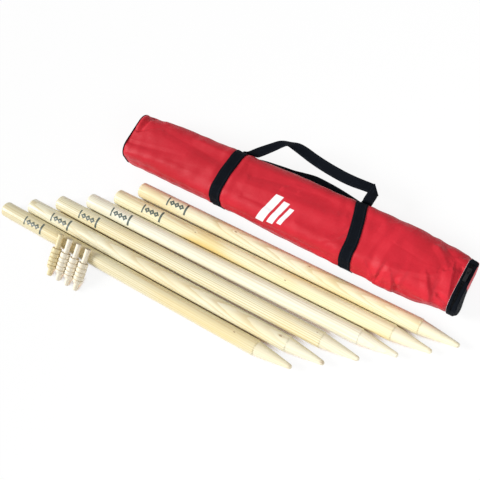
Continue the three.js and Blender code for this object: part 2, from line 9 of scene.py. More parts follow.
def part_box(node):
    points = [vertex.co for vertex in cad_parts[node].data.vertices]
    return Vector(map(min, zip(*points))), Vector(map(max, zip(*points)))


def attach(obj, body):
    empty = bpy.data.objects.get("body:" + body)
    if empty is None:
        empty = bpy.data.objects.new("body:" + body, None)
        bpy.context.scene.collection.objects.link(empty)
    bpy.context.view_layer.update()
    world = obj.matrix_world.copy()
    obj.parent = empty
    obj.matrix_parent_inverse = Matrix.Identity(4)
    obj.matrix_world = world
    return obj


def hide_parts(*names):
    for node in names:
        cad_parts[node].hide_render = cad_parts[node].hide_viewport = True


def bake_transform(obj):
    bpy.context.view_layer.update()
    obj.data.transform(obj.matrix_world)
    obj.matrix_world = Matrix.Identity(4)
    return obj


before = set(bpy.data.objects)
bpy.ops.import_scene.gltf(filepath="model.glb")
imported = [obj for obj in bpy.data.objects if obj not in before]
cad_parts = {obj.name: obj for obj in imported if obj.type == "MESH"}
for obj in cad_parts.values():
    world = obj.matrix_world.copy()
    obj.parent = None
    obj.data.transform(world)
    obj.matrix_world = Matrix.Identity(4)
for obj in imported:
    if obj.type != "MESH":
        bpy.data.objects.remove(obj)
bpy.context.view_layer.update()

scene = bpy.context.scene

# Camera, fitted to the outlines of the six stumps in the photograph
IMAGE_SIZE = 480
SENSOR_WIDTH = 0.036
camera_place = Vector((0.6238, -0.3910, 1.6085))
camera_target = Vector((0.0087, 0.0145, 0))
camera_roll = math.radians(-28.38)
camera_lens = 0.06667

view = (camera_target - camera_place).to_track_quat("-Z", "Y") @ Quaternion((0, 0, 1), camera_roll)
camera_data = bpy.data.cameras.new("camera")
camera_data.sensor_width = SENSOR_WIDTH * 1000
camera_data.lens = camera_lens * 1000
camera_data.clip_end = 20
camera = bpy.data.objects.new("camera", camera_data)
camera.rotation_mode = "QUATERNION"
camera.rotation_quaternion = view
camera.location = camera_place
scene.collection.objects.link(camera)
scene.camera = camera
scene.view_settings.view_transform = "Standard"


def pixels_of(points):
    """Where points of the row's frame lie in the photograph, in its 480 by 480 pixels."""
    right, up, back = (np.array(view @ Vector(v)) for v in ((1, 0, 0), (0, 1, 0), (0, 0, 1)))
    away = points - np.array(camera_place)
    depth = -away @ back
    focal = camera_lens / SENSOR_WIDTH * IMAGE_SIZE
    middle = IMAGE_SIZE / 2
    across = middle + focal * (away @ right) / depth
    down = middle - focal * (away @ up) / depth
    return np.stack([across, down], -1)


# Materials

class Nodes:
    """The node tree of a material or a world, built one call at a time, from numbers or sockets."""

    def __init__(self, owner):
        owner.use_nodes = True
        self.owner = owner
        self.tree = owner.node_tree
        self.tree.nodes.clear()

    def make(self, kind, inputs=None, **settings):
        node = self.tree.nodes.new("ShaderNode" + kind)
        for key, value in settings.items():
            setattr(node, key, value)
        for key, value in (inputs or {}).items():
            self.put(node.inputs[key], value)
        return node

    def put(self, socket, value):
        if isinstance(value, bpy.types.NodeSocket):
            self.tree.links.new(value, socket)
        elif isinstance(value, (tuple, list)) and len(value) == 3 and socket.type == "RGBA":
            socket.default_value = (*value, 1)
        else:
            socket.default_value = value

    def math(self, operation, a, b=0.0, c=0.0):
        return self.make("Math", {0: a, 1: b, 2: c}, operation=operation).outputs[0]

    def times(self, a, b):
        return self.math("MULTIPLY", a, b)

    def minus(self, a, b):
        return self.math("SUBTRACT", a, b)

    def larger(self, a, b):
        return self.math("MAXIMUM", a, b)

    def size(self, a):
        return self.math("ABSOLUTE", a)

    def linear(self, value, factor, offset):
        """value times factor, plus offset."""
        return self.math("MULTIPLY_ADD", value, factor, offset)

    def vector(self, operation, a, b=(0, 0, 0)):
        node = self.make("VectorMath", {0: a, 1: b}, operation=operation)
        return node.outputs["Value" if operation == "LENGTH" else "Vector"]

    def scaled(self, vector, factors):
        return self.vector("MULTIPLY", vector, factors)

    def split(self, vector):
        return self.make("SeparateXYZ", {0: vector}).outputs[:]

    def join(self, x, y, z):
        return self.make("CombineXYZ", {0: x, 1: y, 2: z}).outputs[0]

    def place(self):
        return self.make("TexCoord").outputs["Object"]

    def cloth_place(self):
        return self.make("UVMap", uv_map="cloth").outputs[0]

    def noise(self, place, stretch, detail=2.0, roughness=0.5):
        """Noise with as many waves in a metre, along each axis, as stretch says."""
        inputs = {"Vector": self.scaled(place, stretch), "Scale": 1.0, "Detail": detail}
        inputs["Roughness"] = roughness
        return self.make("TexNoise", inputs).outputs[0]

    def step(self, value, low, high):
        """0 below low and 1 above high, smooth between; falls instead where low is above high."""
        inputs = {"Value": value, "From Min": low, "From Max": high}
        return self.make("MapRange", inputs, interpolation_type="SMOOTHSTEP").outputs[0]

    def within(self, value, low, high, soft):
        """1 between low and high and 0 outside, with both limits softened."""
        rise = self.step(value, low - soft, low + soft)
        fall = self.step(value, high + soft, high - soft)
        return self.times(rise, fall)

    def mix(self, share, a, b):
        node = self.make("Mix", data_type="RGBA", blend_type="MIX")
        for socket, value in ((node.inputs[0], share), (node.inputs[6], a), (node.inputs[7], b)):
            self.put(socket, value)
        return node.outputs[2]

    def tint(self, colour, other, mask, share):
        """The colour, with a share of the other one where the mask is 1."""
        return self.mix(self.times(mask, share), colour, other)

    def bump(self, height, distance, strength, normal=None):
        inputs = {"Height": height, "Distance": distance, "Strength": strength}
        if normal is not None:
            inputs["Normal"] = normal
        return self.make("Bump", inputs).outputs[0]

    def finish(self, **inputs):
        """The finished material, from the shader's inputs by name."""
        shader = self.make("BsdfPrincipled")
        for key, value in inputs.items():
            self.put(shader.inputs[key.replace("_", " ")], value)
        self.make("OutputMaterial", {0: shader.outputs[0]})
        return self.owner


def material_nodes(name):
    return Nodes(bpy.data.materials.new(name))


WOOD_RING = (0.50, 0.34, 0.115)
WOOD_HONEY = (0.80, 0.58, 0.19)
WOOD_RAW = (0.86, 0.80, 0.62)
WOOD_BROWN = (0.26, 0.12, 0.045)
PRINT_GREEN = (0.006, 0.040, 0.040)

# Printed mark near a stump's top: from and to along the stump, and its half width round it
mark_bars = [(0.0650, 0.0684, 0.0100), (0.1080, 0.1126, 0.0130)]
mark_rings = (0.0770, 0.0990, 0.0110)  # first and last middle of the square rings, and their pitch
mark_ring_size = 0.0064
WOOD_INK_EDGE = 0.0002  # how softly the ink ends
CLOTH_INK_EDGE = 0.0003


def stump_mark(n, x, y, z, look):
    """Where on a stump the ink of its mark lies."""
    along = n.minus(x, look["mark_shift"])
    angle = n.math("ARCTAN2", n.minus(0, y), z)
    aside = n.times(n.minus(angle, look["mark_turn"]), stump_radius)
    ink = 0.0
    for low, high, half in mark_bars:
        bar = n.within(along, low, high, WOOD_INK_EDGE)
        ink = n.larger(ink, n.times(bar, n.within(aside, -half, half, WOOD_INK_EDGE)))
    first, last, pitch = mark_rings
    from_ring = n.math("PINGPONG", n.minus(along, first), pitch / 2)
    gap = n.math("ADD", n.size(from_ring), n.size(aside))
    row = n.within(along, first - mark_ring_size, last + mark_ring_size, 0.0001)
    ring = n.within(gap, mark_ring_size * 0.24, mark_ring_size, WOOD_INK_EDGE)
    return n.larger(ink, n.times(ring, row))


def stump_wood(name, look):
    """Lacquered pale wood. Growth rings are shells round a pith beside the stump, which the turned
    surface cuts into straight lines and long arches."""
    n = material_nodes(name)
    place = n.place()
    x, y, z = n.split(place)
    seed = n.vector("ADD", place, (look["seed"], look["seed"], 0))
    slow = n.noise(seed, (4.5, 55, 55))
    fine = n.noise(seed, (14, 260, 260))
    # distance from the pith, uneven as wood grows, and pushed out round each knot
    pith_y, pith_z = look["pith"]
    tilt_y, tilt_z = look["tilt"]
    across = n.minus(n.linear(x, tilt_y, y), pith_y)
    up = n.minus(n.linear(x, tilt_z, z), pith_z)
    ring = n.vector("LENGTH", n.join(0, across, up))
    ring = n.linear(slow, look["wave"], ring)
    ring = n.linear(fine, 0.0006, ring)
    knots = 0.0
    for along, turn, size in look["knots"]:
        middle = (along, stump_radius * math.cos(turn), stump_radius * math.sin(turn))
        from_knot = n.scaled(n.vector("SUBTRACT", place, middle), (0.45 / size, 1 / size, 1 / size))
        gap = n.vector("LENGTH", from_knot)
        ring = n.linear(n.step(gap, 3.2, 0), 0.003, ring)
        knots = n.larger(knots, n.step(gap, 1.15, 0.55))
    # late wood: it darkens through each year's ring, ends sharply, and is stronger in some years
    turns = n.math("DIVIDE", ring, look["spacing"])
    part = n.math("FRACT", turns)
    late = n.times(n.step(part, 0.35, 0.93), n.step(part, 1.0, 0.94))
    strong = n.noise(n.join(n.times(turns, 0.37), look["seed"], 0), (1, 1, 1), 1)
    late = n.times(late, n.step(strong, 0.2, 0.75))
    fibre = n.noise(seed, (28, 1900, 1900), 3, 0.6)
    streak = n.noise(seed, (5, 330, 330))
    tone = n.noise(seed, (6, 20, 20), 1)
    colour = n.mix(n.times(late, look["contrast"]), look["pale"], WOOD_RING)
    warm = n.times(n.step(tone, 0.42, 0.7), look["honey"])
    colour = n.mix(warm, colour, WOOD_HONEY)
    colour = n.tint(colour, WOOD_HONEY, n.step(streak, 0.52, 0.8), 0.28)
    colour = n.tint(colour, WOOD_RING, n.step(fibre, 0.5, 0.85), 0.3)
    colour = n.tint(colour, WOOD_BROWN, knots, 0.75)
    # the point past the shoulder is barer, its tip is rubbed, and the domed end shows end grain
    shoulder = stump_length - stump_point_length
    raw = n.step(x, shoulder - 0.001, shoulder + 0.0005)
    colour = n.tint(colour, WOOD_RAW, raw, 0.6)
    rub = n.noise(seed, (60, 150, 150), 3)
    tip = n.times(n.step(x, stump_length - 0.011, stump_length), n.step(rub, 0.42, 0.62))
    colour = n.tint(colour, WOOD_BROWN, tip, look["tip"])
    ends = n.step(x, stump_dome_height, 0.0006)
    colour = n.tint(colour, WOOD_RING, ends, 0.3)
    colour = n.tint(colour, PRINT_GREEN, stump_mark(n, x, y, z, look), 0.93)
    rough = n.linear(fibre, 0.12, 0.26)
    rough = n.linear(raw, 0.18, rough)
    relief = n.linear(late, -0.5, fibre)
    return n.finish(
        Base_Color=colour, Roughness=rough, Normal=n.bump(relief, 0.00006, 0.6),
        Coat_Weight=0.4, Coat_Roughness=0.3, Coat_IOR=1.45,
    )


def bail_wood(name, look):
    """Turned pale wood with shade painted into its grooves and its sawn ends dark."""
    n = material_nodes(name)
    place = n.place()
    x, y, z = n.split(place)
    seed = n.vector("ADD", place, (look["seed"], look["seed"], 0))
    slow = n.noise(seed, (20, 90, 90))
    across = n.minus(n.linear(x, 0.06, y), look["pith"])
    ring = n.vector("LENGTH", n.join(0, across, z))
    turns = n.math("DIVIDE", n.linear(slow, 0.004, ring), 0.0021)
    part = n.math("FRACT", turns)
    late = n.times(n.step(part, 0.3, 0.9), n.step(part, 1.0, 0.93))
    fibre = n.noise(seed, (60, 1700, 1700), 3, 0.6)
    colour = n.mix(n.times(late, 0.3), look["pale"], WOOD_RING)
    colour = n.tint(colour, WOOD_RING, n.step(fibre, 0.48, 0.85), 0.3)
    # painted shade in the grooves between the beads and at the long spigot's root, and dark sawn ends
    from_axis = n.vector("LENGTH", n.join(0, y, z))
    start, end = bail_short_length, bail_short_length + bail_barrel_length
    barrel = n.within(x, start + 0.004, end - 0.002, 0.0005)
    painted_groove_shade = n.step(from_axis, bail_barrel_radius - 0.0004, bail_barrel_radius - bead_groove_depth)
    colour = n.tint(colour, look["groove"], n.times(barrel, painted_groove_shade), 0.42)
    # painted shade in the corner where the long spigot leaves the barrel
    root = n.times(n.within(x, end - 0.0002, end + 0.0012, 0.0004), 0.55)
    colour = n.mix(root, colour, look["groove"])
    total = end + bail_long_length
    sawn = n.larger(n.step(x, total - 0.0004, total - 0.0001), n.step(x, 0.0004, 0.0001))
    grey = n.noise(seed, (900, 900, 900))
    colour = n.mix(n.times(sawn, n.step(grey, 0.2, 0.7)), colour, look["end"])
    relief = n.linear(late, -0.4, fibre)
    return n.finish(
        Base_Color=colour, Roughness=n.linear(fibre, 0.15, 0.42),
        Normal=n.bump(relief, 0.00008, 0.7), Coat_Weight=0.12, Coat_Roughness=0.3,
    )


RED = (0.575, 0.012, 0.027)
RED_DEEP = (0.48, 0.008, 0.018)
RED_WORN = (0.63, 0.044, 0.064)
PRINT_WHITE = (0.86, 0.86, 0.87)
NAVY = (0.0022, 0.0028, 0.0044)
NAVY_LIGHT = (0.0070, 0.0090, 0.0130)
NAVY_SCUFF = (0.0110, 0.0150, 0.0230)


def weave(n, place, pitch):
    """Height of a plain weave: threads over and under each other, pitch apart."""
    u, v, _ = n.split(n.scaled(place, (math.pi / pitch, math.pi / pitch, 0)))
    across = n.times(n.math("SINE", u), n.math("COSINE", v))
    down = n.times(n.math("COSINE", u), n.math("SINE", v))
    return n.larger(n.size(across), n.size(down))


def red_cloth(name, printed=False):
    """Coated woven polyester: a plain weave, a soft sheen and faint wear."""
    n = material_nodes(name)
    place = n.cloth_place()
    threads = weave(n, place, 0.00095)
    broad = n.noise(place, (9, 9, 0), 3)
    slub = n.noise(place, (60, 900, 0))
    slub_down = n.noise(place, (900, 60, 0))
    colour = n.mix(n.step(broad, 0.3, 0.72), RED_DEEP, RED)
    colour = n.tint(colour, RED_WORN, n.step(threads, 0.35, 1.0), 0.32)
    mottle = n.times(n.math("ADD", slub, slub_down), 0.5)
    colour = n.tint(colour, RED_WORN, n.step(mottle, 0.45, 0.7), 0.22)
    rough = n.linear(broad, 0.12, 0.4)
    if printed:
        ink = stripes(n, place)
        worn = n.step(n.noise(place, (700, 700, 0), 3), 0.28, 0.4)
        ink = n.times(ink, n.linear(worn, 0.2, 0.78))
        colour = n.mix(ink, colour, PRINT_WHITE)
    crumple = n.noise(place, (120, 120, 0), 4, 0.6)
    relief = n.bump(crumple, 0.0007, 0.35)
    return n.finish(
        Base_Color=colour, Roughness=rough, Specular_IOR_Level=0.2,
        Normal=n.bump(threads, 0.00012, 0.75, relief),
        Sheen_Weight=0.03, Sheen_Roughness=0.4, Sheen_Tint=(1.0, 0.35, 0.4),
    )


# The bag's plain print: slanted bars, each with its middle along the bag, half its width and half
# its height, in the cloth's own measure of along and round
print_middle = (0.378, 0.126)
print_bars = [(-0.036, 0.0085, 0.033), (-0.015, 0.0065, 0.026), (0.002, 0.0048, 0.019)]
print_slant = 0.32


def stripes(n, place):
    """Where on the bag the ink of its print lies."""
    along, girth, _ = n.split(n.vector("SUBTRACT", place, (*print_middle, 0)))
    lean = n.linear(girth, print_slant, along)
    ink = 0.0
    for middle, half, reach in print_bars:
        over = n.within(lean, middle - half, middle + half, CLOTH_INK_EDGE)
        bar = n.times(over, n.within(girth, -reach, reach, CLOTH_INK_EDGE))
        ink = n.larger(ink, bar)
    return ink


def webbing_cloth(name, pitch=0.0017, stitched=False):
    """Dense woven webbing: ribs across, threads along, near black with a blue cast."""
    n = material_nodes(name)
    place = n.cloth_place()
    along, across, _ = n.split(place)
    rib = n.size(n.math("SINE", n.times(along, math.pi / pitch)))
    shifted = n.linear(along, 0.5, across)
    thread = n.size(n.math("SINE", n.times(shifted, math.pi / (pitch * 0.6))))
    height = n.linear(thread, 0.5, rib)
    fuzz = n.noise(place, (500, 500, 0), 3)
    shade = n.step(n.linear(fuzz, 0.6, height), 0.6, 1.8)
    colour = n.mix(shade, NAVY, NAVY_LIGHT)
    scuff = n.noise(place, (70, 240, 0), 3, 0.65)
    colour = n.tint(colour, NAVY_SCUFF, n.step(scuff, 0.52, 0.75), 0.55)
    if stitched:
        edge = n.within(n.size(across), 0.0078, 0.0083, 0.0001)
        dash = n.step(n.math("SINE", n.times(along, 2 * math.pi / 0.0034)), -0.5, -0.2)
        sewn = n.times(edge, dash)
        colour = n.tint(colour, (0.04, 0.046, 0.06), sewn, 0.6)
        height = n.linear(sewn, 1.4, height)
    return n.finish(
        Base_Color=colour, Roughness=0.6, Specular_IOR_Level=0.02,
        Normal=n.bump(height, 0.00025, 0.9),
        Sheen_Weight=0.006, Sheen_Roughness=0.5, Sheen_Tint=(0.6, 0.7, 0.9),
    )


def thread(name, colour):
    """Twisted sewing thread."""
    n = material_nodes(name)
    x, y, z = n.split(n.place())
    twist = n.math("SINE", n.times(n.math("ADD", x, n.math("ADD", y, z)), 9000))
    tone = n.mix(n.step(twist, -0.6, 0.9), tuple(c * 0.7 for c in colour), colour)
    return n.finish(Base_Color=tone, Roughness=0.55, Normal=n.bump(twist, 0.00005, 0.6))


def hard_black(name, metallic, roughness, tone, shine):
    """Moulded or enamelled black with fine rub marks."""
    n = material_nodes(name)
    rub = n.noise(n.place(), (400, 400, 400), 4)
    worn = (4 * tone, 4.1 * tone, 4.5 * tone)
    colour = n.mix(n.step(rub, 0.45, 0.8), (tone, 1.08 * tone, 1.3 * tone), worn)
    return n.finish(
        Base_Color=colour, Metallic=metallic, Normal=n.bump(rub, 0.00004, 0.5),
        Roughness=n.linear(rub, 0.25, roughness), Specular_IOR_Level=shine,
    )


# Mesh helpers

def new_object(name, mesh, materials, smooth=True):
    if smooth:
        mesh.polygons.foreach_set("use_smooth", [True] * len(mesh.polygons))
    piece = bpy.data.objects.new(name, mesh)
    scene.collection.objects.link(piece)
    for material in materials:
        mesh.materials.append(material)
    return piece


def grid_mesh(name, points, cloth=None, closed_across=False, closed_along=False):
    """A mesh through a grid of points [along][across], with a cloth map in metres."""
    rows, columns = points.shape[:2]
    along_count = rows if closed_along else rows - 1
    across_count = columns if closed_across else columns - 1
    faces = []
    corners = []
    for i in range(along_count):
        for k in range(across_count):
            quad = [(i, k), (i, k + 1), (i + 1, k + 1), (i + 1, k)]
            faces.append([(a % rows) * columns + b % columns for a, b in quad])
            corners.extend(quad)
    mesh = bpy.data.meshes.new(name)
    mesh.from_pydata(points.reshape(-1, 3).tolist(), [], faces)
    if cloth is not None:
        layer = mesh.uv_layers.new(name="cloth")
        layer.data.foreach_set("uv", [float(c) for i, k in corners for c in cloth[i, k]])
    mesh.update()
    return mesh


def apply_modifiers(piece):
    """The piece's mesh as its modifiers leave it."""
    depsgraph = bpy.context.evaluated_depsgraph_get()
    mesh = bpy.data.meshes.new_from_object(piece.evaluated_get(depsgraph))
    piece.modifiers.clear()
    piece.data = mesh
    return piece


def recalc_outward(mesh):
    work = bmesh.new()
    work.from_mesh(mesh)
    bmesh.ops.recalc_face_normals(work, faces=work.faces)
    work.to_mesh(mesh)
    work.free()


def closed_mesh(name, vertices, faces):
    mesh = bpy.data.meshes.new(name)
    mesh.from_pydata(vertices, [], faces)
    recalc_outward(mesh)
    return mesh


def bar_faces(base, rings, sides):
    """Faces of a closed bar, whose rings of vertices follow one another from base on."""
    faces = []
    for start in range(base, base + (rings - 1) * sides, sides):
        for k in range(sides):
            a, b = start + k, start + (k + 1) % sides
            faces.append((a, b, b + sides, a + sides))
    last = base + (rings - 1) * sides
    return faces + [tuple(range(base, base + sides)), tuple(range(last, last + sides))[::-1]]


def run_lengths(points):
    """How far along their own line points lie."""
    steps = np.linalg.norm(np.diff(points, axis=0), axis=1)
    return np.concatenate([[0], np.cumsum(steps)])


def at_lengths(places, lengths, values):
    """Values between a line's points, at places along it."""
    return np.stack([np.interp(places, lengths, column) for column in values.T], -1)


def cloth_map(along, across):
    return np.stack(np.meshgrid(along, across, indexing="ij"), -1)


def unit(vectors):
    return vectors / np.linalg.norm(vectors, axis=-1)[..., None]


def eased(share):
    """A share from 0 to 1 that starts and ends gently."""
    return share * share * (3 - 2 * share)


def bell(gap, width, power=2):
    """1 where the gap is nothing, falling to 0 about a width away, more squarely with more power."""
    return np.exp(-(gap / width) ** power)


def turned_mesh(name, profile, sides):
    """Turned work along +X: a profile of (along, radius) spun about the axis, closed at both ends."""
    turns = np.arange(sides) / sides * 2 * math.pi
    rings = [(along, radius) for along, radius in profile if radius > 0]
    points = [(along, r * math.cos(t), r * math.sin(t)) for along, r in rings for t in turns]
    faces = bar_faces(0, len(rings), sides)[:-2]
    last = (len(rings) - 1) * sides
    for place, base, flip in ((profile[0][0], 0, False), (profile[-1][0], last, True)):
        points.append((place, 0, 0))
        for k in range(sides):
            pair = (base + (k + 1) % sides, base + k)
            faces.append((len(points) - 1, *(pair[::-1] if flip else pair)))
    return closed_mesh(name, points, faces)


def arc(centre, radius, start, end, steps):
    """Points of a rounded stretch of a profile, by angle from the outward direction towards +X."""
    angles = np.linspace(start, end, steps + 1)
    return [(centre[0] + radius * math.sin(a), centre[1] + radius * math.cos(a)) for a in angles]


def smooth_by_angle(piece, angle):
    piece.data.polygons.foreach_set("use_smooth", [True] * len(piece.data.polygons))
    piece.data.set_sharp_from_angle(angle=math.radians(angle))


def finish_piece(piece, body, slot, *nodes):
    """Says which body a piece moves with and which CAD nodes it stands for; slot, what it is made of,
    is not used.
    """
    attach(piece, body)
    if nodes:
        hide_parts(*nodes)


def axis_of(node, towards):
    """Where a turned CAD node lies: its middle line, found from its own symmetric vertices."""
    corners = np.array([v.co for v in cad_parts[node].data.vertices])
    middle = corners.mean(0)
    direction = np.linalg.svd(corners - middle, full_matrices=False)[2][0]
    direction *= math.copysign(1, direction @ np.array(towards))
    along = (corners - middle) @ direction
    start = middle + direction * along.min()
    return Vector(start), Vector(direction)


def lay_along(piece, start, direction):
    """Puts a piece made along +X onto an axis, with its own +Z as near up as it goes."""
    side = Vector((0, 0, 1)).cross(direction).normalized()
    up = direction.cross(side)
    turn = Matrix((direction, side, up)).transposed().to_4x4()
    piece.matrix_world = Matrix.Translation(start) @ turn


# Stumps

stump_length = 0.711
stump_radius = 0.016
stump_point_length = 0.0756
stump_shoulder_step = 0.0014
stump_shoulder_run = 0.0022
stump_tip_radius = 0.005
stump_dome_height = 0.0045
stump_edge_radius = 0.0022
stump_round_off = 0.0005
stump_point_swell = 0.0003
bail_groove_radius = 0.0064
bail_groove_depth = 0.004
stump_sides = 96


def stump_mesh():
    """A stump's outline, from its domed top over the shoulder to its rounded tip, turned."""
    shoulder = stump_length - stump_point_length
    point_radius = stump_radius - stump_shoulder_step
    edge = stump_edge_radius
    profile = [(0, 0)]
    for share in np.linspace(0.12, 0.86, 9):
        drop = 0.82 * (1 - math.sqrt(1 - (share * 0.93) ** 2))
        profile.append((stump_dome_height * drop, stump_radius * share))
    profile += arc((stump_dome_height + edge * 0.2, stump_radius - edge), edge, -1.15, 0, 6)
    profile += [(stump_length * share, stump_radius) for share in np.linspace(0.05, 0.85, 17)]
    start = shoulder - stump_shoulder_run
    centre = (start - stump_round_off, stump_radius - stump_round_off)
    profile += arc(centre, stump_round_off, 0, 0.9, 4)
    profile += [(shoulder, point_radius), (shoulder + 0.0008, point_radius - 0.0001)]
    lean = math.asin((point_radius - stump_tip_radius) / stump_point_length)
    tip = (stump_length - stump_tip_radius, 0)
    run = arc(tip, stump_tip_radius, lean, math.pi / 2, 10)
    for share in np.linspace(0.12, 0.9, 8):
        along = shoulder + (run[0][0] - shoulder) * share
        swell = stump_point_swell * math.sin(math.pi * share)
        profile.append((along, point_radius + (run[0][1] - point_radius) * share + swell))
    profile += run[:-1] + [(stump_length, 0)]
    return turned_mesh("stump", profile, stump_sides)


def cut_groove(piece):
    """The bails' groove, across the top and level, with eased edges."""
    bpy.ops.mesh.primitive_cylinder_add(
        vertices=96, radius=bail_groove_radius, depth=4 * stump_radius,
        location=(bail_groove_depth - bail_groove_radius, 0, 0), rotation=(math.pi / 2, 0, 0),
    )
    cutter = bpy.context.object
    cut = piece.modifiers.new("groove", "BOOLEAN")
    cut.object = cutter
    cut.solver = "EXACT"
    ease = piece.modifiers.new("ease", "BEVEL")
    ease.width = 0.0004
    ease.segments = 3
    ease.angle_limit = math.radians(34)
    apply_modifiers(piece)
    bpy.data.objects.remove(cutter)
    smooth_by_angle(piece, 32)


# Each stump's own growth: pith beside it and lean of the rings, spacing, and tone
stump_looks = [
    dict(seed=1.7, pith=(0.030, 0.034), tilt=(0.006, 0.012), spacing=0.0040, wave=0.005,
         contrast=0.75, honey=0.30, pale=(0.76, 0.70, 0.47), mark_turn=0.25, mark_shift=0.0, tip=0.5,
         knots=[(0.585, 1.3, 0.0012)]),
    dict(seed=4.1, pith=(-0.012, -0.046), tilt=(0.004, 0.070), spacing=0.0044, wave=0.009,
         contrast=0.62, honey=0.25, pale=(0.83, 0.80, 0.61), mark_turn=0.20, mark_shift=0.0, tip=0.95,
         knots=[(0.617, 1.25, 0.0018)]),
    dict(seed=7.9, pith=(0.062, 0.006), tilt=(0.006, 0.004), spacing=0.0036, wave=0.003,
         contrast=0.9, honey=0.25, pale=(0.82, 0.78, 0.56), mark_turn=0.30, mark_shift=-0.001, tip=0.4,
         knots=[(0.622, 1.2, 0.0010)]),
    dict(seed=11.3, pith=(0.050, -0.040), tilt=(0.012, 0.006), spacing=0.0030, wave=0.006,
         contrast=0.45, honey=0.10, pale=(0.86, 0.84, 0.69), mark_turn=0.22, mark_shift=0.0, tip=0.1,
         knots=[]),
    dict(seed=15.2, pith=(-0.040, -0.060), tilt=(0.010, 0.020), spacing=0.0036, wave=0.008,
         contrast=0.48, honey=0.80, pale=(0.85, 0.79, 0.53), mark_turn=0.10, mark_shift=0.007, tip=0.4,
         knots=[(0.20, 1.5, 0.0012), (0.41, 1.9, 0.0011)]),
    dict(seed=19.6, pith=(-0.008, -0.052), tilt=(0.002, 0.060), spacing=0.0033, wave=0.010,
         contrast=0.55, honey=0.35, pale=(0.84, 0.79, 0.56), mark_turn=0.05, mark_shift=0.008, tip=0.3,
         knots=[(0.235, 1.35, 0.0016), (0.40, 1.2, 0.0015)]),
]

stump_shape = new_object("stump_shape", stump_mesh(), [])
cut_groove(stump_shape)
for number, look in enumerate(stump_looks, 1):
    node = f"stump_{number}"
    wood = stump_wood(f"{node}_wood", look)
    piece = new_object(f"{node}_wood", stump_shape.data.copy(), [wood], False)
    lay_along(piece, *axis_of(node, (1, 0, 0)))
    finish_piece(piece, node, "stump_wood", node)
bpy.data.objects.remove(stump_shape)

# Bails

bail_short_length = 0.0145
bail_short_radius = 0.0052
bail_barrel_length = 0.0445
bail_barrel_radius = 0.0107
bail_long_length = 0.030
bail_long_radius = 0.0058
bead_groove_depth = 0.0017
bail_chamfer = 0.0007
bail_foot_taper = 0.0038
bail_foot_radius = 0.0068
bead_radius_shares = (0.95, 1.0, 1.0, 0.99, 0.96)
bead_length_shares = (0.19, 0.185, 0.19, 0.205, 0.23)
bead_squareness = 4.5
last_edge_share = 0.45  # how deep the barrel's last edge drops, as a share of a groove


def bail_mesh():
    """A bail's outline, turned: the short spigot, beads with grooves between, the long spigot."""
    start = bail_short_length
    end = start + bail_barrel_length
    profile = [(0, 0), (0, bail_short_radius - bail_chamfer), (bail_chamfer, bail_short_radius)]
    profile += [(start - 0.001, bail_short_radius), (start, bail_short_radius + 0.0003)]
    place = start
    for i, (length_share, radius_share) in enumerate(zip(bead_length_shares, bead_radius_shares)):
        length = bail_barrel_length * length_share
        radius = bail_barrel_radius * radius_share
        for t in np.linspace(0, 1, 15)[(0 if i == 0 else 1):]:
            drop = abs(2 * t - 1) ** bead_squareness
            if i == len(bead_length_shares) - 1 and t > 0.5:
                drop *= last_edge_share
            level = radius - bead_groove_depth * drop
            if i == 0 and t < 0.6:
                cone = bail_foot_radius + (t * length / bail_foot_taper) * (radius - bail_foot_radius)
                level = max(min(level, cone), bail_foot_radius)
            profile.append((place + length * t, level))
        place += length
    profile += [(end + 0.0002, bail_long_radius + 0.0012), (end + 0.0001, bail_long_radius + 0.0002)]
    profile += [(end + 0.0006, bail_long_radius)]
    total = end + bail_long_length
    profile += [(total - bail_chamfer, bail_long_radius), (total, bail_long_radius - bail_chamfer)]
    profile += [(total, 0)]
    return turned_mesh("bail", profile, 64)


# per bail: seed, pith, pale wood, the colour of the shade painted into its grooves, and the sawn ends'
# colour
bail_looks = [
    dict(zip(("seed", "pith", "pale", "groove", "end"), row)) for row in [
        (2.3, 0.03, (0.74, 0.64, 0.38), (0.42, 0.28, 0.11), (0.36, 0.31, 0.22)),
        (5.9, 0.05, (0.86, 0.81, 0.68), (0.50, 0.38, 0.20), (0.42, 0.38, 0.30)),
        (9.4, 0.02, (0.87, 0.81, 0.68), (0.44, 0.30, 0.13), (0.46, 0.40, 0.34)),
        (13.8, 0.04, (0.87, 0.80, 0.64), (0.52, 0.42, 0.24), (0.10, 0.07, 0.05)),
    ]
]
bail_shape = bail_mesh()
for number, look in enumerate(bail_looks, 1):
    node = f"bail_{number}"
    piece = new_object(f"{node}_wood", bail_shape.copy(), [bail_wood(f"{node}_wood", look)])
    smooth_by_angle(piece, 38)
    lay_along(piece, *axis_of(node, (0, 0, 1)))
    finish_piece(piece, node, "bail_wood", node)

# Bag: its outline

seat_gap = 0.0003  # between pieces that lie on each other
least_height = 0.0004  # of the cloth over the ground
bag_length = 0.725
bag_depth = 0.123
bag_height = 0.078
bag_corner = 0.024
bag_crown = 0.0026
bag_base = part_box("bag_shell")[0].z
closed_low, closed_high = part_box("bag_closed_end")
bag_start = closed_low.x
bag_middle = (closed_low.y + closed_high.y) / 2
webbing_width = 0.0222
strap_width = 0.0246
webbing_thickness = 0.0013
shell_thickness = 0.0011
panel_thickness = 0.0010
hinge_thickness = 0.0009
piping_radius = 0.0010
strap_looks = {"left": (0.2275, -0.006), "right": (0.5185, 0.022)}  # place at the front, and lean
strap_lean_from, strap_lean_to, strap_lean_power = 0.235, 0.98, 1.5

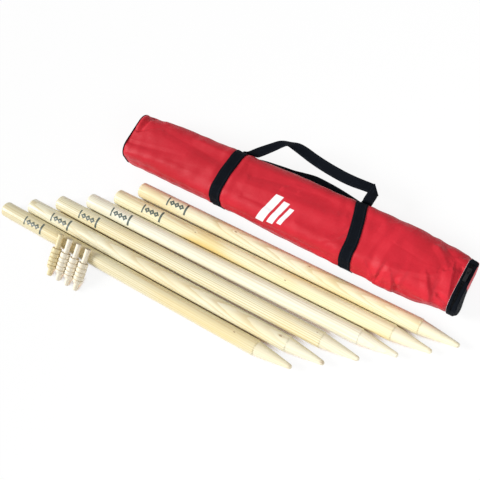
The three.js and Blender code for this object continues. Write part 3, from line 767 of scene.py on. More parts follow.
# Along the bag: place, depth, lift of the base, top, crown, and shift to the far side, as shares
bag_stations = np.array([
    [0, 0.8, 0.055, 0.95, 0, 0],
    [0.014, 0.825, 0.035, 0.975, 0.4, 0],
    [0.05, 0.84, 0.012, 0.99, 0.8, 0.008],
    [0.14, 0.885, 0, 1, 1, 0.026],
    [0.34, 0.905, 0, 1, 1, 0.025],
    [0.5, 0.96, 0, 1, 1, 0.026],
    [0.65, 0.975, 0, 1, 1, 0.009],
    [0.76, 1, 0, 1, 1, 0.019],
    [0.91, 0.95, 0.006, 0.97, 0.85, 0.006],
    [0.96, 0.885, 0.03, 0.93, 0.5, 0.002],
    [0.985, 0.855, 0.05, 0.895, 0.2, 0],
    [1, 0.825, 0.055, 0.87, 0, 0],
])


def stations_at(share):
    """The stations' shares at places along the bag, on smooth curves that never overshoot."""
    places, values = bag_stations[:, 0], bag_stations[:, 1:]
    slopes = np.diff(values, axis=0) / np.diff(places)[:, None]
    product = slopes[1:] * slopes[:-1]
    total = slopes[1:] + slopes[:-1]
    inner = np.where(product > 0, 2 * product / np.where(total == 0, 1, total), 0)
    leans = np.vstack([slopes[:1], inner, slopes[-1:]])
    share = np.clip(share, 0, 1)
    i = np.clip(np.searchsorted(places, share, side="right"), 1, len(places) - 1)
    width = (places[i] - places[i - 1])[..., None]
    t = (share[..., None] - places[i - 1][..., None]) / width
    before, after = values[i - 1], values[i]
    curve = before + (after - before) * eased(t)
    curve += width * (leans[i - 1] * t * (1 - t) ** 2 - leans[i] * t * t * (1 - t))
    return np.moveaxis(curve, -1, 0)


def bag_outline(along, turn):
    """Point, outward normal and run round the bag at a length along it and a turn round it, from
    the far side's middle over the top to the front and back below."""
    depth_share, lift_share, top_share, crown_share, shift_share = stations_at(along / bag_length)
    low = bag_base + bag_height * lift_share
    high = bag_base + bag_height * top_share
    crown = bag_crown * crown_share
    flat_y = bag_depth * depth_share / 2 - bag_corner
    flat_z = (high - low) / 2 - bag_corner
    bend = bag_corner * math.pi / 2
    girth = 4 * (flat_y + flat_z + bend)
    run = (turn % 1) * girth
    y, z, normal_y, normal_z = (np.zeros_like(run) for _ in range(4))
    lengths = [flat_z, bend, 2 * flat_y, bend, 2 * flat_z, bend, 2 * flat_y, bend, flat_z]
    sides = [(1, 1), (-1, 1), (-1, -1), (1, -1)]
    start = np.zeros_like(run)
    for part, length in enumerate(lengths):
        inside = (run >= start) & (run <= start + length + 1e-12)
        t = (run - start) / np.maximum(length, 1e-9)
        quarter = part // 2
        if part % 2:
            angle = (quarter + t) * math.pi / 2
            out_y, out_z = np.cos(angle), np.sin(angle)
            at_y = sides[quarter][0] * flat_y + bag_corner * out_y
            at_z = sides[quarter][1] * flat_z + bag_corner * out_z
        else:
            facing = quarter * math.pi / 2
            out_y, out_z = np.full_like(run, math.cos(facing)), np.full_like(run, math.sin(facing))
            whole = {0: 0.5 + t / 2, len(lengths) - 1: t / 2}.get(part, t)
            swell = crown * np.sin(math.pi * whole) ** 2 * (0 if quarter == 3 else 1)
            upright = quarter % 2 == 0
            reach = (flat_y if upright else flat_z) + bag_corner + swell
            slide = (2 * whole - 1) * (flat_z if upright else flat_y)
            at_y = out_y * reach - slide * out_z
            at_z = out_z * reach + slide * out_y
        y, z = np.where(inside, at_y, y), np.where(inside, at_z, z)
        normal_y, normal_z = np.where(inside, out_y, normal_y), np.where(inside, out_z, normal_z)
        start = start + length
    middle = bag_middle + bag_depth * shift_share
    points = np.stack([bag_start + along, middle + y, (low + high) / 2 + z], -1)
    normals = np.stack([np.zeros_like(run), normal_y, normal_z], -1)
    return points, normals, run


# Folds in the cloth, as lines in the photograph's pixels. Each is a ridge (or a valley, where its
# height is negative) between two flanks: height at the line's two ends in millimetres, how wide the
# flanks to its left and right are in pixels, seen along the line, and the line
folds = [
    # closed end
    (-2.4, -1.2, 2.0, 4.0, [(158.5, 117.5), (150.5, 119), (141, 130)]),
    (1.8, 1.0, 4.0, 3.0, [(152, 112.5), (144, 117), (137, 127)]),
    (-1.6, -0.3, 5.0, 2.0, [(137.5, 130.5), (150, 129), (169, 126.5)]),
    (1.4, 0.3, 5.0, 9.0, [(128, 152), (160, 162), (205, 176)]),
    (-1.1, -0.3, 4.0, 5.0, [(125, 141), (150, 148), (182, 156)]),
    (1.2, 0.3, 3.0, 6.0, [(168, 121), (190, 128), (214, 140)]),
    # along the bag's top
    (-0.8, -0.5, 8.0, 6.0, [(168, 133), (205, 153), (232, 170)]),
    (1.0, 0.4, 4.0, 8.0, [(200, 141), (232, 156), (244, 163)]),
    (-1.0, -0.4, 7.0, 5.0, [(252, 176), (290, 186), (330, 199)]),
    (1.0, 0.4, 6.0, 9.0, [(246, 184), (280, 196), (320, 212)]),
    (-0.9, -0.4, 4.0, 6.0, [(243, 196), (262, 204), (290, 220)]),
    (0.9, 0.3, 2.5, 5.0, [(284, 188), (296, 185.5), (308, 190)]),
    (0.8, 0.2, 2.5, 5.0, [(300, 192), (312, 189), (328, 189)]),
    (-1.3, -0.3, 1.8, 3.5, [(352, 226), (343, 232), (328, 237)]),
    (-1.2, -0.2, 1.8, 3.5, [(349, 236), (339, 241), (324, 244)]),
    (1.1, 0.3, 2.5, 4.5, [(351, 231), (340, 237), (322, 241)]),
    (0.9, 0.3, 3.0, 6.0, [(346, 216), (334, 217), (318, 222)]),
    # towards the zip end: the broad fold from the front edge up across the top
    (2.5, 1.2, 10.0, 26.0, [(375.5, 276), (383.6, 257.4), (391.2, 246.9), (401, 238), (418, 229)]),
    (0.8, 0.3, 8.0, 8.0, [(364, 262), (374, 246), (386, 232)]),
    (-1.6, -0.3, 2.2, 4.0, [(374, 277.5), (369.8, 270), (366, 261)]),
    (-2.4, -0.3, 1.8, 5.0, [(376.2, 277), (380.5, 270), (387, 262)]),
    (2.0, 0.9, 7.0, 2.0, [(391.8, 286.5), (390.9, 279), (390.8, 272.5)]),
    (-1.1, -0.2, 1.6, 5.0, [(393.4, 286), (394, 279), (397, 273)]),
    (1.5, 1.0, 9.0, 5.0, [(391, 272.5), (408, 271.5), (426, 275.5)]),
    (1.1, 0.3, 5.0, 4.0, [(399, 283), (404, 275), (410, 266)]),
    (1.8, 1.1, 8.0, 3.4, [(429.6, 297), (427.2, 286), (426.6, 276)]),
    (-0.9, -0.2, 1.8, 4.0, [(430.8, 297), (433.6, 290), (437, 283)]),
    (1.1, 1.3, 5.0, 16.0, [(443.5, 272.3), (453.4, 271.6)]),
    (-1.3, -0.9, 2.4, 2.4, [(445, 270), (450, 269.5)]),
    (2.5, 1.6, 2.2, 11.0, [(453.2, 272), (450.4, 284.2), (447.4, 303)]),
    (-0.9, -0.6, 2.6, 1.8, [(455.4, 273), (452.8, 285), (449.6, 300.5)]),
    (-2.2, -1.2, 5.0, 3.0, [(437.8, 295.5), (447.4, 304)]),
    (-1.9, -1.0, 2.2, 2.6, [(462, 268.8), (457.6, 276.6), (455, 287)]),
    (-1.8, -0.6, 6.0, 4.5, [(446, 247), (452, 254.5), (458.5, 262)]),
    (1.4, 0.6, 4.0, 6.0, [(438, 247), (444, 256), (447, 264)]),
    (-1.4, -0.6, 2.2, 3.0, [(471, 258.6), (464, 257), (456, 256)]),
    (-1.2, -0.4, 8.0, 12.0, [(402, 248), (424, 262), (440, 268)]),
    (1.3, 0.3, 5.0, 9.0, [(386, 226), (400, 224), (418, 230)]),
]

fold_strength = 2.0
flank_power = 1.05
highest_fold, deepest_fold = 8, 7.5  # millimetres out and in from the plain outline

# Long soft waves in the cloth: how many in a metre along and round the bag, phase, and height in
# millimetres, each drawn between two limits
random = np.random.default_rng(7)
cloth_waves = []
for count, *limits in (
    (12, (-4, 4), (7, 24), (0, 6.28), (0.12, 0.4)),
    (10, (10, 34), (-26, 26), (0, 6.28), (0.04, 0.11)),
):
    cloth_waves += [[random.uniform(*pair) for pair in limits] for _ in range(count)]


def line_distance(places, line):
    """Distance from places to a line of points, which side they are on, and how far along it."""
    best = np.full(places.shape[:-1], 1e9)
    side = np.zeros_like(best)
    share = np.zeros_like(best)
    line = np.array(line, float)
    lengths = np.linalg.norm(np.diff(line, axis=0), axis=1)
    total, before = lengths.sum(), 0.0
    for start, end, length in zip(line[:-1], line[1:], lengths):
        run = (end - start) / length
        away = places - start
        t = np.clip(away @ run, 0, length)
        gap = away - t[..., None] * run
        distance = np.linalg.norm(gap, axis=-1)
        nearer = distance < best
        best = np.where(nearer, distance, best)
        side = np.where(nearer, np.sign(run[0] * away[..., 1] - run[1] * away[..., 0]), side)
        share = np.where(nearer, (before + t) / total, share)
        before += length
    return best, side, share


def lean_of(points, lean):
    """How far a leaning strap has drifted along the bag, at places further and further back."""
    out = (points[..., 1] - (bag_middle - bag_depth / 2)) / bag_depth
    out = np.clip((out - strap_lean_from) / (strap_lean_to - strap_lean_from), 0, 1)
    return -lean * out ** strap_lean_power


def cloth_relief(along, points, normals, run):
    """How far the cloth stands out from the bag's plain outline."""
    relief = np.zeros_like(run)
    for per_along, per_round, phase, height in cloth_waves:
        relief += height * np.sin(2 * math.pi * (per_along * along + per_round * run) + phase)
    relief *= 1 + 0.7 * bell(bag_length - along, 0.09)
    towards = unit(np.array(camera_place) - points)
    seen = np.clip((towards * normals).sum(-1) * 6, 0, 1)
    places = pixels_of(points)
    for first, last, left, right, line in folds:
        distance, side, share = line_distance(places, line)
        flank = np.clip(1 - distance / np.where(side < 0, left, right), 0, 1)
        relief += fold_strength * seen * (first + (last - first) * share) * flank ** flank_power
    for place, lean in strap_looks.values():
        # a strap flattens the cloth, presses it in and lets it swell on both sides
        aside = np.abs(along - place - lean_of(points, lean))
        relief = relief * (1 - 0.8 * bell(aside, 0.017, 4)) - 0.5 * bell(aside, 0.0105, 6)
        relief += 0.9 * bell(aside - 0.021, 0.009) * (normals[..., 2] > -0.5)
    # nothing stands out at the seams of the two ends, nor on the ground
    ends = np.clip(along / 0.006, 0, 1) * np.clip((bag_length - along) / 0.012, 0, 1)
    under = np.clip((normals[..., 2] + 1) / 0.5, 0, 1)
    relief = relief * ends * under
    outward = highest_fold * np.tanh(relief / highest_fold)
    return 0.001 * np.where(relief > 0, outward, np.maximum(relief, -deepest_fold))


# The cloth simulation: its grid along and round the bag, what it adds there, and at most
settled_alongs = np.linspace(0.004, bag_length - 0.008, 144)
settled_turns = np.arange(76) / 76
settled_lift = None
settled_most = 0.0018
settle_frames = 20


def lift_between(along, turn):
    """The simulated lift at places along and round the bag, between the simulation's own points."""
    rows, columns = settled_lift.shape
    i = np.clip(np.interp(along, settled_alongs, np.arange(rows)), 0, rows - 1.001)
    k = (turn % 1) * columns
    low_i, low_k = np.floor(i).astype(int), np.floor(k).astype(int) % columns
    part_i, part_k = eased(i - low_i), eased(k - np.floor(k))
    next_k = (low_k + 1) % columns
    near = settled_lift[low_i, low_k] * (1 - part_k) + settled_lift[low_i, next_k] * part_k
    far = settled_lift[low_i + 1, low_k] * (1 - part_k) + settled_lift[low_i + 1, next_k] * part_k
    return near * (1 - part_i) + far * part_i


def bag_surface(along, turn, rise=0.0):
    """Points of the finished cloth's outside, raised by rise, and their normals and runs."""
    points, normals, run = bag_outline(along, turn)
    lift = cloth_relief(along, points, normals, run) + rise
    if settled_lift is not None:
        lift = lift + lift_between(along, turn)
    points = points + normals * lift[..., None]
    points[..., 2] = np.maximum(points[..., 2], least_height)
    return points, normals, run


# Bag: its cloth

# How far it is round the bag, for the maps of its cloth, of a strap and of a zip tape
cloth_girth, strap_girth, tape_girth = 0.36, 0.372, 0.2888


def solid(piece, thickness, offset):
    """Gives a sheet its thickness: offset -1 inward, 1 outward and 0 to both sides."""
    shell = piece.modifiers.new("thickness", "SOLIDIFY")
    shell.thickness = thickness
    shell.offset = offset
    shell.use_even_offset = True
    return apply_modifiers(piece)


cloth_settings = dict(
    quality=6, mass=0.2, tension_stiffness=30, compression_stiffness=30, shear_stiffness=12,
    bending_stiffness=0.02, shrink_min=-0.022, shrink_max=-0.022, use_pressure=True,
    uniform_pressure_force=4, vertex_group_mass="held",
)


def settle():
    """Lets the cloth, a little too large for its seams, swell and wrinkle between the ends, the
    straps and the floor, and gives how far each point then stands out."""
    along, turn = np.meshgrid(settled_alongs, settled_turns, indexing="ij")
    points, normals, _ = bag_surface(along, turn)
    sheet = new_object("settling", grid_mesh("settling", points, closed_across=True), [])
    # held at the ends, under the straps and along the underside
    held = np.zeros(along.shape)
    held[:3], held[-3:] = 1, 1
    for place, lean in strap_looks.values():
        plain, _, _ = bag_outline(along, turn)
        aside = np.abs(along - place - lean_of(plain, lean))
        held = np.maximum(held, np.clip((0.0165 - aside) / 0.004, 0, 1))
    held = np.maximum(held, np.clip((-0.35 - normals[..., 2]) / 0.3, 0, 1))
    pins = sheet.vertex_groups.new(name="held")
    for index, weight in enumerate(held.ravel().tolist()):
        if weight > 0:
            pins.add([index], weight, "REPLACE")
    cloth = sheet.modifiers.new("cloth", "CLOTH")
    for key, value in cloth_settings.items():
        setattr(cloth.settings, key, value)
    cloth.settings.effector_weights.gravity = 0
    cloth.collision_settings.use_collision = False
    cloth.collision_settings.use_self_collision = False
    cloth.point_cache.frame_start = 1
    cloth.point_cache.frame_end = settle_frames
    for step in range(1, settle_frames + 1):
        scene.frame_set(step)
    depsgraph = bpy.context.evaluated_depsgraph_get()
    settled = sheet.evaluated_get(depsgraph).to_mesh()
    moved = np.array([v.co for v in settled.vertices]).reshape(points.shape)
    scene.frame_set(1)
    bpy.data.objects.remove(sheet)
    lift = smoothed(((moved - points) * normals).sum(-1), 1)
    lift -= 0.7 * smoothed(lift, 60)  # the broad swelling goes, the short waves stay
    slack = 0.35 + 0.65 * np.clip((along - 0.53) / 0.08, 0, 1)  # the cloth is looser at the zip end
    return slack * settled_most * np.tanh(lift / settled_most) * (1 - held)


def smoothed(grid, times):
    """The grid averaged with its neighbours, closed round the bag."""
    for _ in range(times):
        inner = (grid[:-2] + 2 * grid[1:-1] + grid[2:]) / 4
        grid = np.vstack([grid[:1], inner, grid[-1:]])
        grid = (np.roll(grid, 1, 1) + 2 * grid + np.roll(grid, -1, 1)) / 4
    return grid


settled_lift = settle()

materials = {
    "cloth": red_cloth("red_cloth", True),
    "panel": red_cloth("red_cloth_panel"),
    "webbing": webbing_cloth("black_webbing", stitched=True),
    "tape": webbing_cloth("zip_tape", 0.0013),
    "piping": webbing_cloth("black_piping", 0.0009),
    "teeth": hard_black("zip_teeth", metallic=0.0, roughness=0.6, tone=0.003, shine=0.05),
    "metal": hard_black("zip_metal", metallic=0.2, roughness=0.45, tone=0.006, shine=0.2),
    "light_thread": thread("light_thread", (0.60, 0.52, 0.53)),
}

alongs = np.concatenate([np.linspace(0.0012, 0.02, 14), np.linspace(0.022, bag_length, 420)])
turns = np.arange(220) / 220
along, turn = np.meshgrid(alongs, turns, indexing="ij")
points, _, _ = bag_surface(along, turn)
cloth = cloth_map(alongs, np.append(turns, 1.0) * cloth_girth)
mesh = grid_mesh("bag_shell_cloth", points, cloth, closed_across=True)
bag_cloth = new_object("bag_shell_cloth", mesh, [materials["cloth"]])
solid(bag_cloth, shell_thickness, -1)
finish_piece(bag_cloth, "bag", "red_cloth", "bag_shell")


def panel(name, ring, levels):
    """A cloth panel in a ring of points, a little wavy: levels are (x, share of the ring) inward."""
    centre = ring.mean(0)
    rows = []
    for x, share in levels:
        row = centre + (ring - centre) * share
        row[:, 0] = x
        rows.append(row)
    rows = np.array(rows)
    wave = 0.0005 * np.sin(rows[..., 1] * 190 + 1.3) * np.sin(rows[..., 2] * 240 + 0.4)
    inward = (1 - np.array([share for _, share in levels]))[:, None]
    rows[..., 0] += wave * np.clip(inward * 4, 0, 1)
    closed = np.concatenate([rows, rows[:, :1]], 1)
    mesh = grid_mesh(name, rows, closed[..., 1:], closed_across=True)
    return solid(new_object(name, mesh, [materials["panel"]]), panel_thickness, 0)


def ring_at(along, count):
    """Points and normals round the bag's plain outline."""
    points, normals, _ = bag_outline(np.full(count, along), np.arange(count) / count)
    return points, normals


ring, _ = ring_at(0.0, 160)
levels = [(bag_start + 0.0010, 1.0), (bag_start, 0.996)]
levels += [(bag_start - 0.0028 * (1 - share ** 3), share) for share in np.linspace(0.985, 0.004, 24)]
closed_end = panel("bag_closed_end_cloth", ring, levels)
finish_piece(closed_end, "bag", "red_cloth", "bag_closed_end")


def piping_cord(name, centres, radius):
    """A round cord through a closed line of points."""
    ahead = unit(np.roll(centres, -1, 0) - np.roll(centres, 1, 0))
    first = unit(np.cross(ahead, np.array([1.0, 0.01, 0.02])))
    second = np.cross(ahead, first)
    turns = np.arange(10) / 10 * 2 * math.pi
    cosines, sines = np.cos(turns)[None, :, None], np.sin(turns)[None, :, None]
    points = centres[:, None] + radius * (cosines * first[:, None] + sines * second[:, None])
    lengths = run_lengths(np.vstack([centres, centres[:1]]))
    cloth = cloth_map(lengths, np.append(turns, 2 * math.pi) * radius)
    mesh = grid_mesh(name, points, cloth, closed_across=True, closed_along=True)
    recalc_outward(mesh)
    return new_object(name, mesh, [materials["piping"]])


ring, normals = ring_at(0.0004, 240)
piping = piping_cord("bag_end_piping_cord", ring + normals * 0.0009, piping_radius)
finish_piece(piping, "bag", "black_piping", "bag_end_piping")


def strap(name, place, lean):
    """Webbing sewn round the bag, so that it follows the cloth."""
    turns = np.arange(300) / 300
    asides = np.linspace(-strap_width / 2, strap_width / 2, 9)
    turn, aside = np.meshgrid(turns, asides, indexing="ij")
    plain, _, run = bag_outline(np.full_like(turn, place), turn)
    points, normals, run = bag_surface(place + aside + lean_of(plain, lean), turn, seat_gap)
    edge = np.abs(aside) / (strap_width / 2)
    points -= normals * (0.00015 * edge ** 6)[..., None]
    runs = np.append(run[:, 4], run[0, 4] + strap_girth)
    mesh = grid_mesh(name, points, cloth_map(runs, asides), closed_along=True)
    piece = new_object(name, mesh, [materials["webbing"]])
    return solid(piece, webbing_thickness, -1)


for side, (place, lean) in strap_looks.items():
    piece = strap(f"bag_strap_{side}_webbing", place, lean)
    finish_piece(piece, "bag", "black_webbing", f"bag_strap_{side}")


# Handles
def smooth_line(points, count):
    """Points spread evenly along a smooth curve through the given ones."""
    points = np.array(points, float)
    padded = np.vstack([2 * points[0] - points[1], points, 2 * points[-1] - points[-2]])
    out = []
    for a, b, c, d in zip(padded, padded[1:], padded[2:], padded[3:]):
        t = np.linspace(0, 1, 24, endpoint=False)[:, None]
        out.append(0.5 * (2 * b + (c - a) * t + (2 * a - 5 * b + 4 * c - d) * t ** 2
                          + (3 * b - a - 3 * c + d) * t ** 3))
    dense = np.vstack([*out, points[-1:]])
    lengths = run_lengths(dense)
    return at_lengths(np.linspace(0, lengths[-1], count), lengths, dense)


def ribbon(name, edges):
    """Webbing between two edge lines: each row of edges has a point of the outer and of the inner."""
    shares = np.linspace(0, 1, 8)
    outer, inner = edges[:, None, :3], edges[:, None, 3:]
    points = outer + (inner - outer) * shares[None, :, None]
    middle = (edges[:, :3] + edges[:, 3:]) / 2
    cloth = cloth_map(run_lengths(middle), (shares - 0.5) * webbing_width)
    piece = new_object(name, grid_mesh(name, points, cloth), [materials["webbing"]])
    return solid(piece, webbing_thickness, 0)


# The upper handle's two edges, (x, y, z) of the outer one and of the inner one, as far as the place
# where it is turned over, and from there on
upper_run = [
    (-0.0630, 0.1695, 0.0420, -0.0440, 0.1695, 0.0420),
    (-0.0625, 0.1690, 0.0505, -0.0436, 0.1690, 0.0480),
    (-0.0590, 0.1690, 0.0550, -0.0375, 0.1690, 0.0515),
    (-0.0500, 0.1705, 0.0598, -0.0265, 0.1700, 0.0540),
    (-0.0354, 0.1858, 0.0611, -0.0164, 0.1762, 0.0589),
    (-0.0192, 0.2038, 0.0586, -0.0004, 0.1937, 0.0614),
    (-0.0067, 0.2172, 0.0567, 0.0102, 0.2060, 0.0633),
    (0.0032, 0.2236, 0.0543, 0.0172, 0.2115, 0.0657),
    (0.0160, 0.2271, 0.0533, 0.0225, 0.2114, 0.0667),
    (0.0351, 0.2305, 0.0560, 0.0321, 0.2104, 0.0620),
    (0.0553, 0.2278, 0.0588, 0.0508, 0.2069, 0.0572),
    (0.0798, 0.2222, 0.0596, 0.0734, 0.2020, 0.0544),
    (0.1093, 0.2170, 0.0598, 0.1042, 0.1965, 0.0542),
    (0.1424, 0.2132, 0.0596, 0.1407, 0.1922, 0.0540),
    (0.1669, 0.2118, 0.0596, 0.1681, 0.1908, 0.0555),
    (0.1897, 0.2122, 0.0588, 0.1938, 0.1917, 0.0580),
    (0.2085, 0.2127, 0.0586, 0.2257, 0.1932, 0.0582),
]
upper_turned = [
    (0.2085, 0.2127, 0.0604, 0.2257, 0.1932, 0.0600),
    (0.2058, 0.1938, 0.0612, 0.2262, 0.1870, 0.0608),
    (0.2045, 0.1790, 0.0612, 0.2255, 0.1775, 0.0610),
    (0.2036, 0.1741, 0.0570, 0.2246, 0.1738, 0.0570),
    (0.2010, 0.1737, 0.0500, 0.2220, 0.1737, 0.0500),
    (0.1990, 0.1737, 0.0430, 0.2200, 0.1737, 0.0430),
]
over_fold = [[0.2091, 0.2132, 0.0595, 0.2263, 0.1937, 0.0591]]
edges = np.vstack([smooth_line(upper_run, 170), over_fold, smooth_line(upper_turned, 40)])
upper_handle = ribbon("bag_handle_upper_webbing", edges)
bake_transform(upper_handle)
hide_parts("bag_handle_upper")

lower_middle = smooth_line([
    (-0.0545, 0.1614, 0.0092), (-0.0540, 0.1652, 0.0060), (-0.0480, 0.1715, 0.0024),
    (-0.0300, 0.1770, 0.0012), (0.0126, 0.1814, 0.0012), (0.0349, 0.1832, 0.0012),
    (0.0559, 0.1868, 0.0012), (0.0768, 0.1900, 0.0012), (0.0926, 0.1902, 0.0012),
    (0.1230, 0.1878, 0.0012), (0.1469, 0.1848, 0.0012), (0.1710, 0.1809, 0.0012),
    (0.1930, 0.1762, 0.0022), (0.2075, 0.1700, 0.0058), (0.2095, 0.1652, 0.0092),
], 150)
steps = np.arange(len(lower_middle))
ahead = np.gradient(lower_middle, axis=0)
across = unit(np.stack([-ahead[:, 1], ahead[:, 0], np.zeros(len(ahead))], -1))
# at its two ends the webbing lies square to the bag's edge
square = np.clip(np.minimum(steps, steps[::-1]) / 9, 0, 1)[:, None]
ends = np.where(steps < len(steps) / 2, -1.0, 1.0)[:, None] * np.array([1.0, 0, 0])
across = ends * (1 - square) + across * square
across *= webbing_width / 2 / np.linalg.norm(across, axis=1)[:, None]
edges = np.hstack([lower_middle + across, lower_middle - across])
lower_handle = ribbon("bag_handle_lower_webbing", edges)
finish_piece(lower_handle, "handle_lower", "black_webbing", "bag_handle_lower")

# Zip end
zip_tape_width = 0.0045
zip_chain_width = 0.0018
zip_tooth_reach = 0.0019
zip_pitch = 0.0028
tape_thickness = 0.0008
stitch_length, stitch_gap, thread_radius = 0.0030, 0.0006, 0.00042
teeth_body_start = bag_length + seat_gap
teeth_flap_end = teeth_body_start + 2 * zip_chain_width + zip_tooth_reach + seat_gap
flap_start = teeth_flap_end + seat_gap
face_lean = 0.0034  # how far the flap's face leans in at its lower edge
patch_edge = bag_middle - 0.008  # the flap's tape is turned over onto the face up to here
zip_from, zip_to = 0.0923, 0.9077  # turns round the bag where the zip starts and ends


def low_corner(turn):
    """1 at the front's lower corner of the zip end, falling to 0 round it."""
    return bell(turn - 0.56, 0.13, 4)


def end_band(name, start, end, first, last, thickness, count):
    """A band of tape round the zip end, from start to end along the bag, which stands out and laps
    over at the front's lower corner."""
    turns, alongs = np.linspace(first, last, count), np.linspace(start, end, 5)
    turn, along = np.meshgrid(turns, alongs, indexing="ij")
    points, normals, _ = bag_surface(along, turn, seat_gap)
    onward = np.clip((along - start) / (end - start), 0, 1)
    corner = low_corner(turn)
    points[..., 0] += 0.0015 * onward * corner
    crown = 1 - (2 * onward - 1) ** 2
    points += normals * (0.0003 * crown + (0.0016 + 0.0012 * onward) * corner)[..., None]
    cloth = np.stack([turn * tape_girth, along - start], -1)
    piece = new_object(name, grid_mesh(name, points, cloth), [materials["tape"]])
    return solid(piece, thickness, -1)


def stitches(name, points, normals):
    """A row of stitches along a line of points, each a short flat loop that dips at its ends."""
    lengths = run_lengths(points)
    rises = np.array([-0.6, 0.55, 0.85, 0.55, -0.6])[:, None] * thread_radius
    vertices, faces = [], []
    for start in np.arange(0, lengths[-1] - stitch_length, stitch_length + stitch_gap):
        at = start + np.linspace(0, stitch_length, len(rises))
        out = at_lengths(at, lengths, normals)
        centre = at_lengths(at, lengths, points) + out * rises
        side = unit(np.cross(np.gradient(centre, axis=0), out))
        faces += bar_faces(len(vertices), len(rises), 6)
        for k in range(len(rises)):
            for turn in np.arange(6) / 6 * 2 * math.pi:
                aside = math.cos(turn) * side[k] + math.sin(turn) * out[k]
                vertices.append((centre[k] + thread_radius * aside).tolist())
    return new_object(name, closed_mesh(name, vertices, faces), [materials["light_thread"]])


# A tooth from its root to its head: place, half width along the zip, and height; and its section
tooth_stations = [
    (0, 0.00075, 0.0013), (0.0012, 0.00085, 0.0015), (0.0020, 0.00055, 0.0013),
    (0.0027, 0.0009, 0.0017), (0.0033, 0.0009, 0.0017), (0.0037, 0.0006, 0.0013),
]
tooth_section = [(-1, 0.15), (-1, 0.85), (-0.6, 1), (0.6, 1), (1, 0.85), (1, 0.15)]


def teeth_row(name, root, towards, phase):
    """Moulded teeth from root along X: the head is thicker than the neck behind it."""
    turns = np.linspace(zip_from, zip_to, 400)
    ring, normals, _ = bag_outline(np.full_like(turns, bag_length), turns)
    lengths = run_lengths(ring)
    vertices, faces = [], []
    for at in np.arange(0.001 + phase, lengths[-1] - 0.001, zip_pitch):
        place = at_lengths(at, lengths, ring)
        out = at_lengths(at, lengths, normals)
        out /= np.linalg.norm(out)
        along = np.cross(out, [1.0, 0, 0])
        faces += bar_faces(len(vertices), len(tooth_stations), len(tooth_section))
        for far, half, high in tooth_stations:
            for side, level in tooth_section:
                spot = place + along * half * side + out * (seat_gap + high * level)
                vertices.append((bag_start + root + towards * far, spot[1], spot[2]))
    piece = new_object(name, closed_mesh(name, vertices, faces), [materials["teeth"]])
    smooth_by_angle(piece, 40)
    return piece


tape_start = bag_length - zip_tape_width
body_tape = end_band("bag_zip_tape_body_cloth", tape_start, bag_length + 0.0012, zip_from, zip_to,
                     tape_thickness, 240)
finish_piece(body_tape, "bag", "zip_tape", "bag_zip_tape_body")
seam_turns = np.linspace(zip_from, zip_to, 500)
line, normals, _ = bag_surface(np.full(500, tape_start - 0.0006), seam_turns, 0.0002)
seam = stitches("bag_zip_seam", line, normals)
finish_piece(seam, "bag", "zip_tape")


def slanted(points):
    """The flap's face leans in towards its lower edge: by how much at points of it."""
    share = np.clip((points[..., 2] - bag_base) / (0.9 * bag_height), 0, 1)
    reach = np.clip((points[..., 0] - bag_start - flap_start) / zip_tape_width, 0, 1)
    return face_lean * (1 - share) ** 1.3 * reach


def wrapped_tape(name):
    """The flap's tape: it lies round the flap's rim and is turned over onto its face, further at the
    front's lower corner, where it is folded thick."""
    turn = np.linspace(zip_from, zip_to, 260)
    low_front = low_corner(turn)
    under = eased(np.clip((turn - 0.715) / 0.11, 0, 1))  # 1 on the bag's underside
    # over the rim, from a little before it
    rows = []
    for share in np.linspace(-0.3, 1, 6):
        points, normals, _ = bag_outline(np.full_like(turn, bag_length), turn)
        bow = max(share, 0)
        lip = 0.0017 * low_front * max(-share, 0) / 0.3  # it laps over the body's tape
        swell = (0.0028 - 0.0034 * bow ** 2) * low_front + 0.0004 * bow * (1 - under)
        points += normals * (0.0004 + swell)[:, None]
        length = zip_tape_width + 0.0010 * low_front - 0.0022 * under
        length += 0.0022 * bell(turn - 0.63, 0.085)
        points[:, 0] = bag_start + flap_start + share * length - lip
        rows.append(points)
    # towards the middle of the face, by as much as the patch reaches there
    rim = rows[-1]
    towards = np.array([0, bag_middle, rim[:, 2].mean()]) - rim
    towards[:, 0] = 0
    distance = np.linalg.norm(towards, axis=1)
    towards /= distance[:, None]
    to_middle = np.maximum(bag_middle - rim[:, 1], 0.001)
    reach = np.clip((patch_edge - rim[:, 1]) / to_middle, 0, 1)
    wrap = 0.0010 + distance * reach
    # round the rim's edge, then flat on the face, which is domed
    for angle in np.linspace(0.25, 1.0, 4) * math.pi / 2:
        points = rim + towards * ((1 - math.cos(angle)) * (0.0012 + 0.0024 * low_front))[:, None]
        points[:, 0] += math.sin(angle) * (0.0010 + 0.0012 * low_front)
        rows.append(points)
    edge = rows[-1]
    for share in np.linspace(0.25, 1, 5):
        points = edge + towards * (wrap * share)[:, None]
        domed = 0.0055 + 0.0015 * (1 - (1 - wrap * share / distance) ** 2)
        points[:, 0] += (bag_start + flap_start + domed - edge[:, 0]) * share
        rows.append(points)
    points = np.stack(rows, 1)
    points[..., 0] -= slanted(points)
    cloth = cloth_map(turn * tape_girth, run_lengths(points[len(turn) // 2]))
    piece = new_object(name, grid_mesh(name, points, cloth), [materials["tape"]])
    return solid(piece, tape_thickness, -1)


flap_tape = wrapped_tape("bag_zip_tape_flap_cloth")

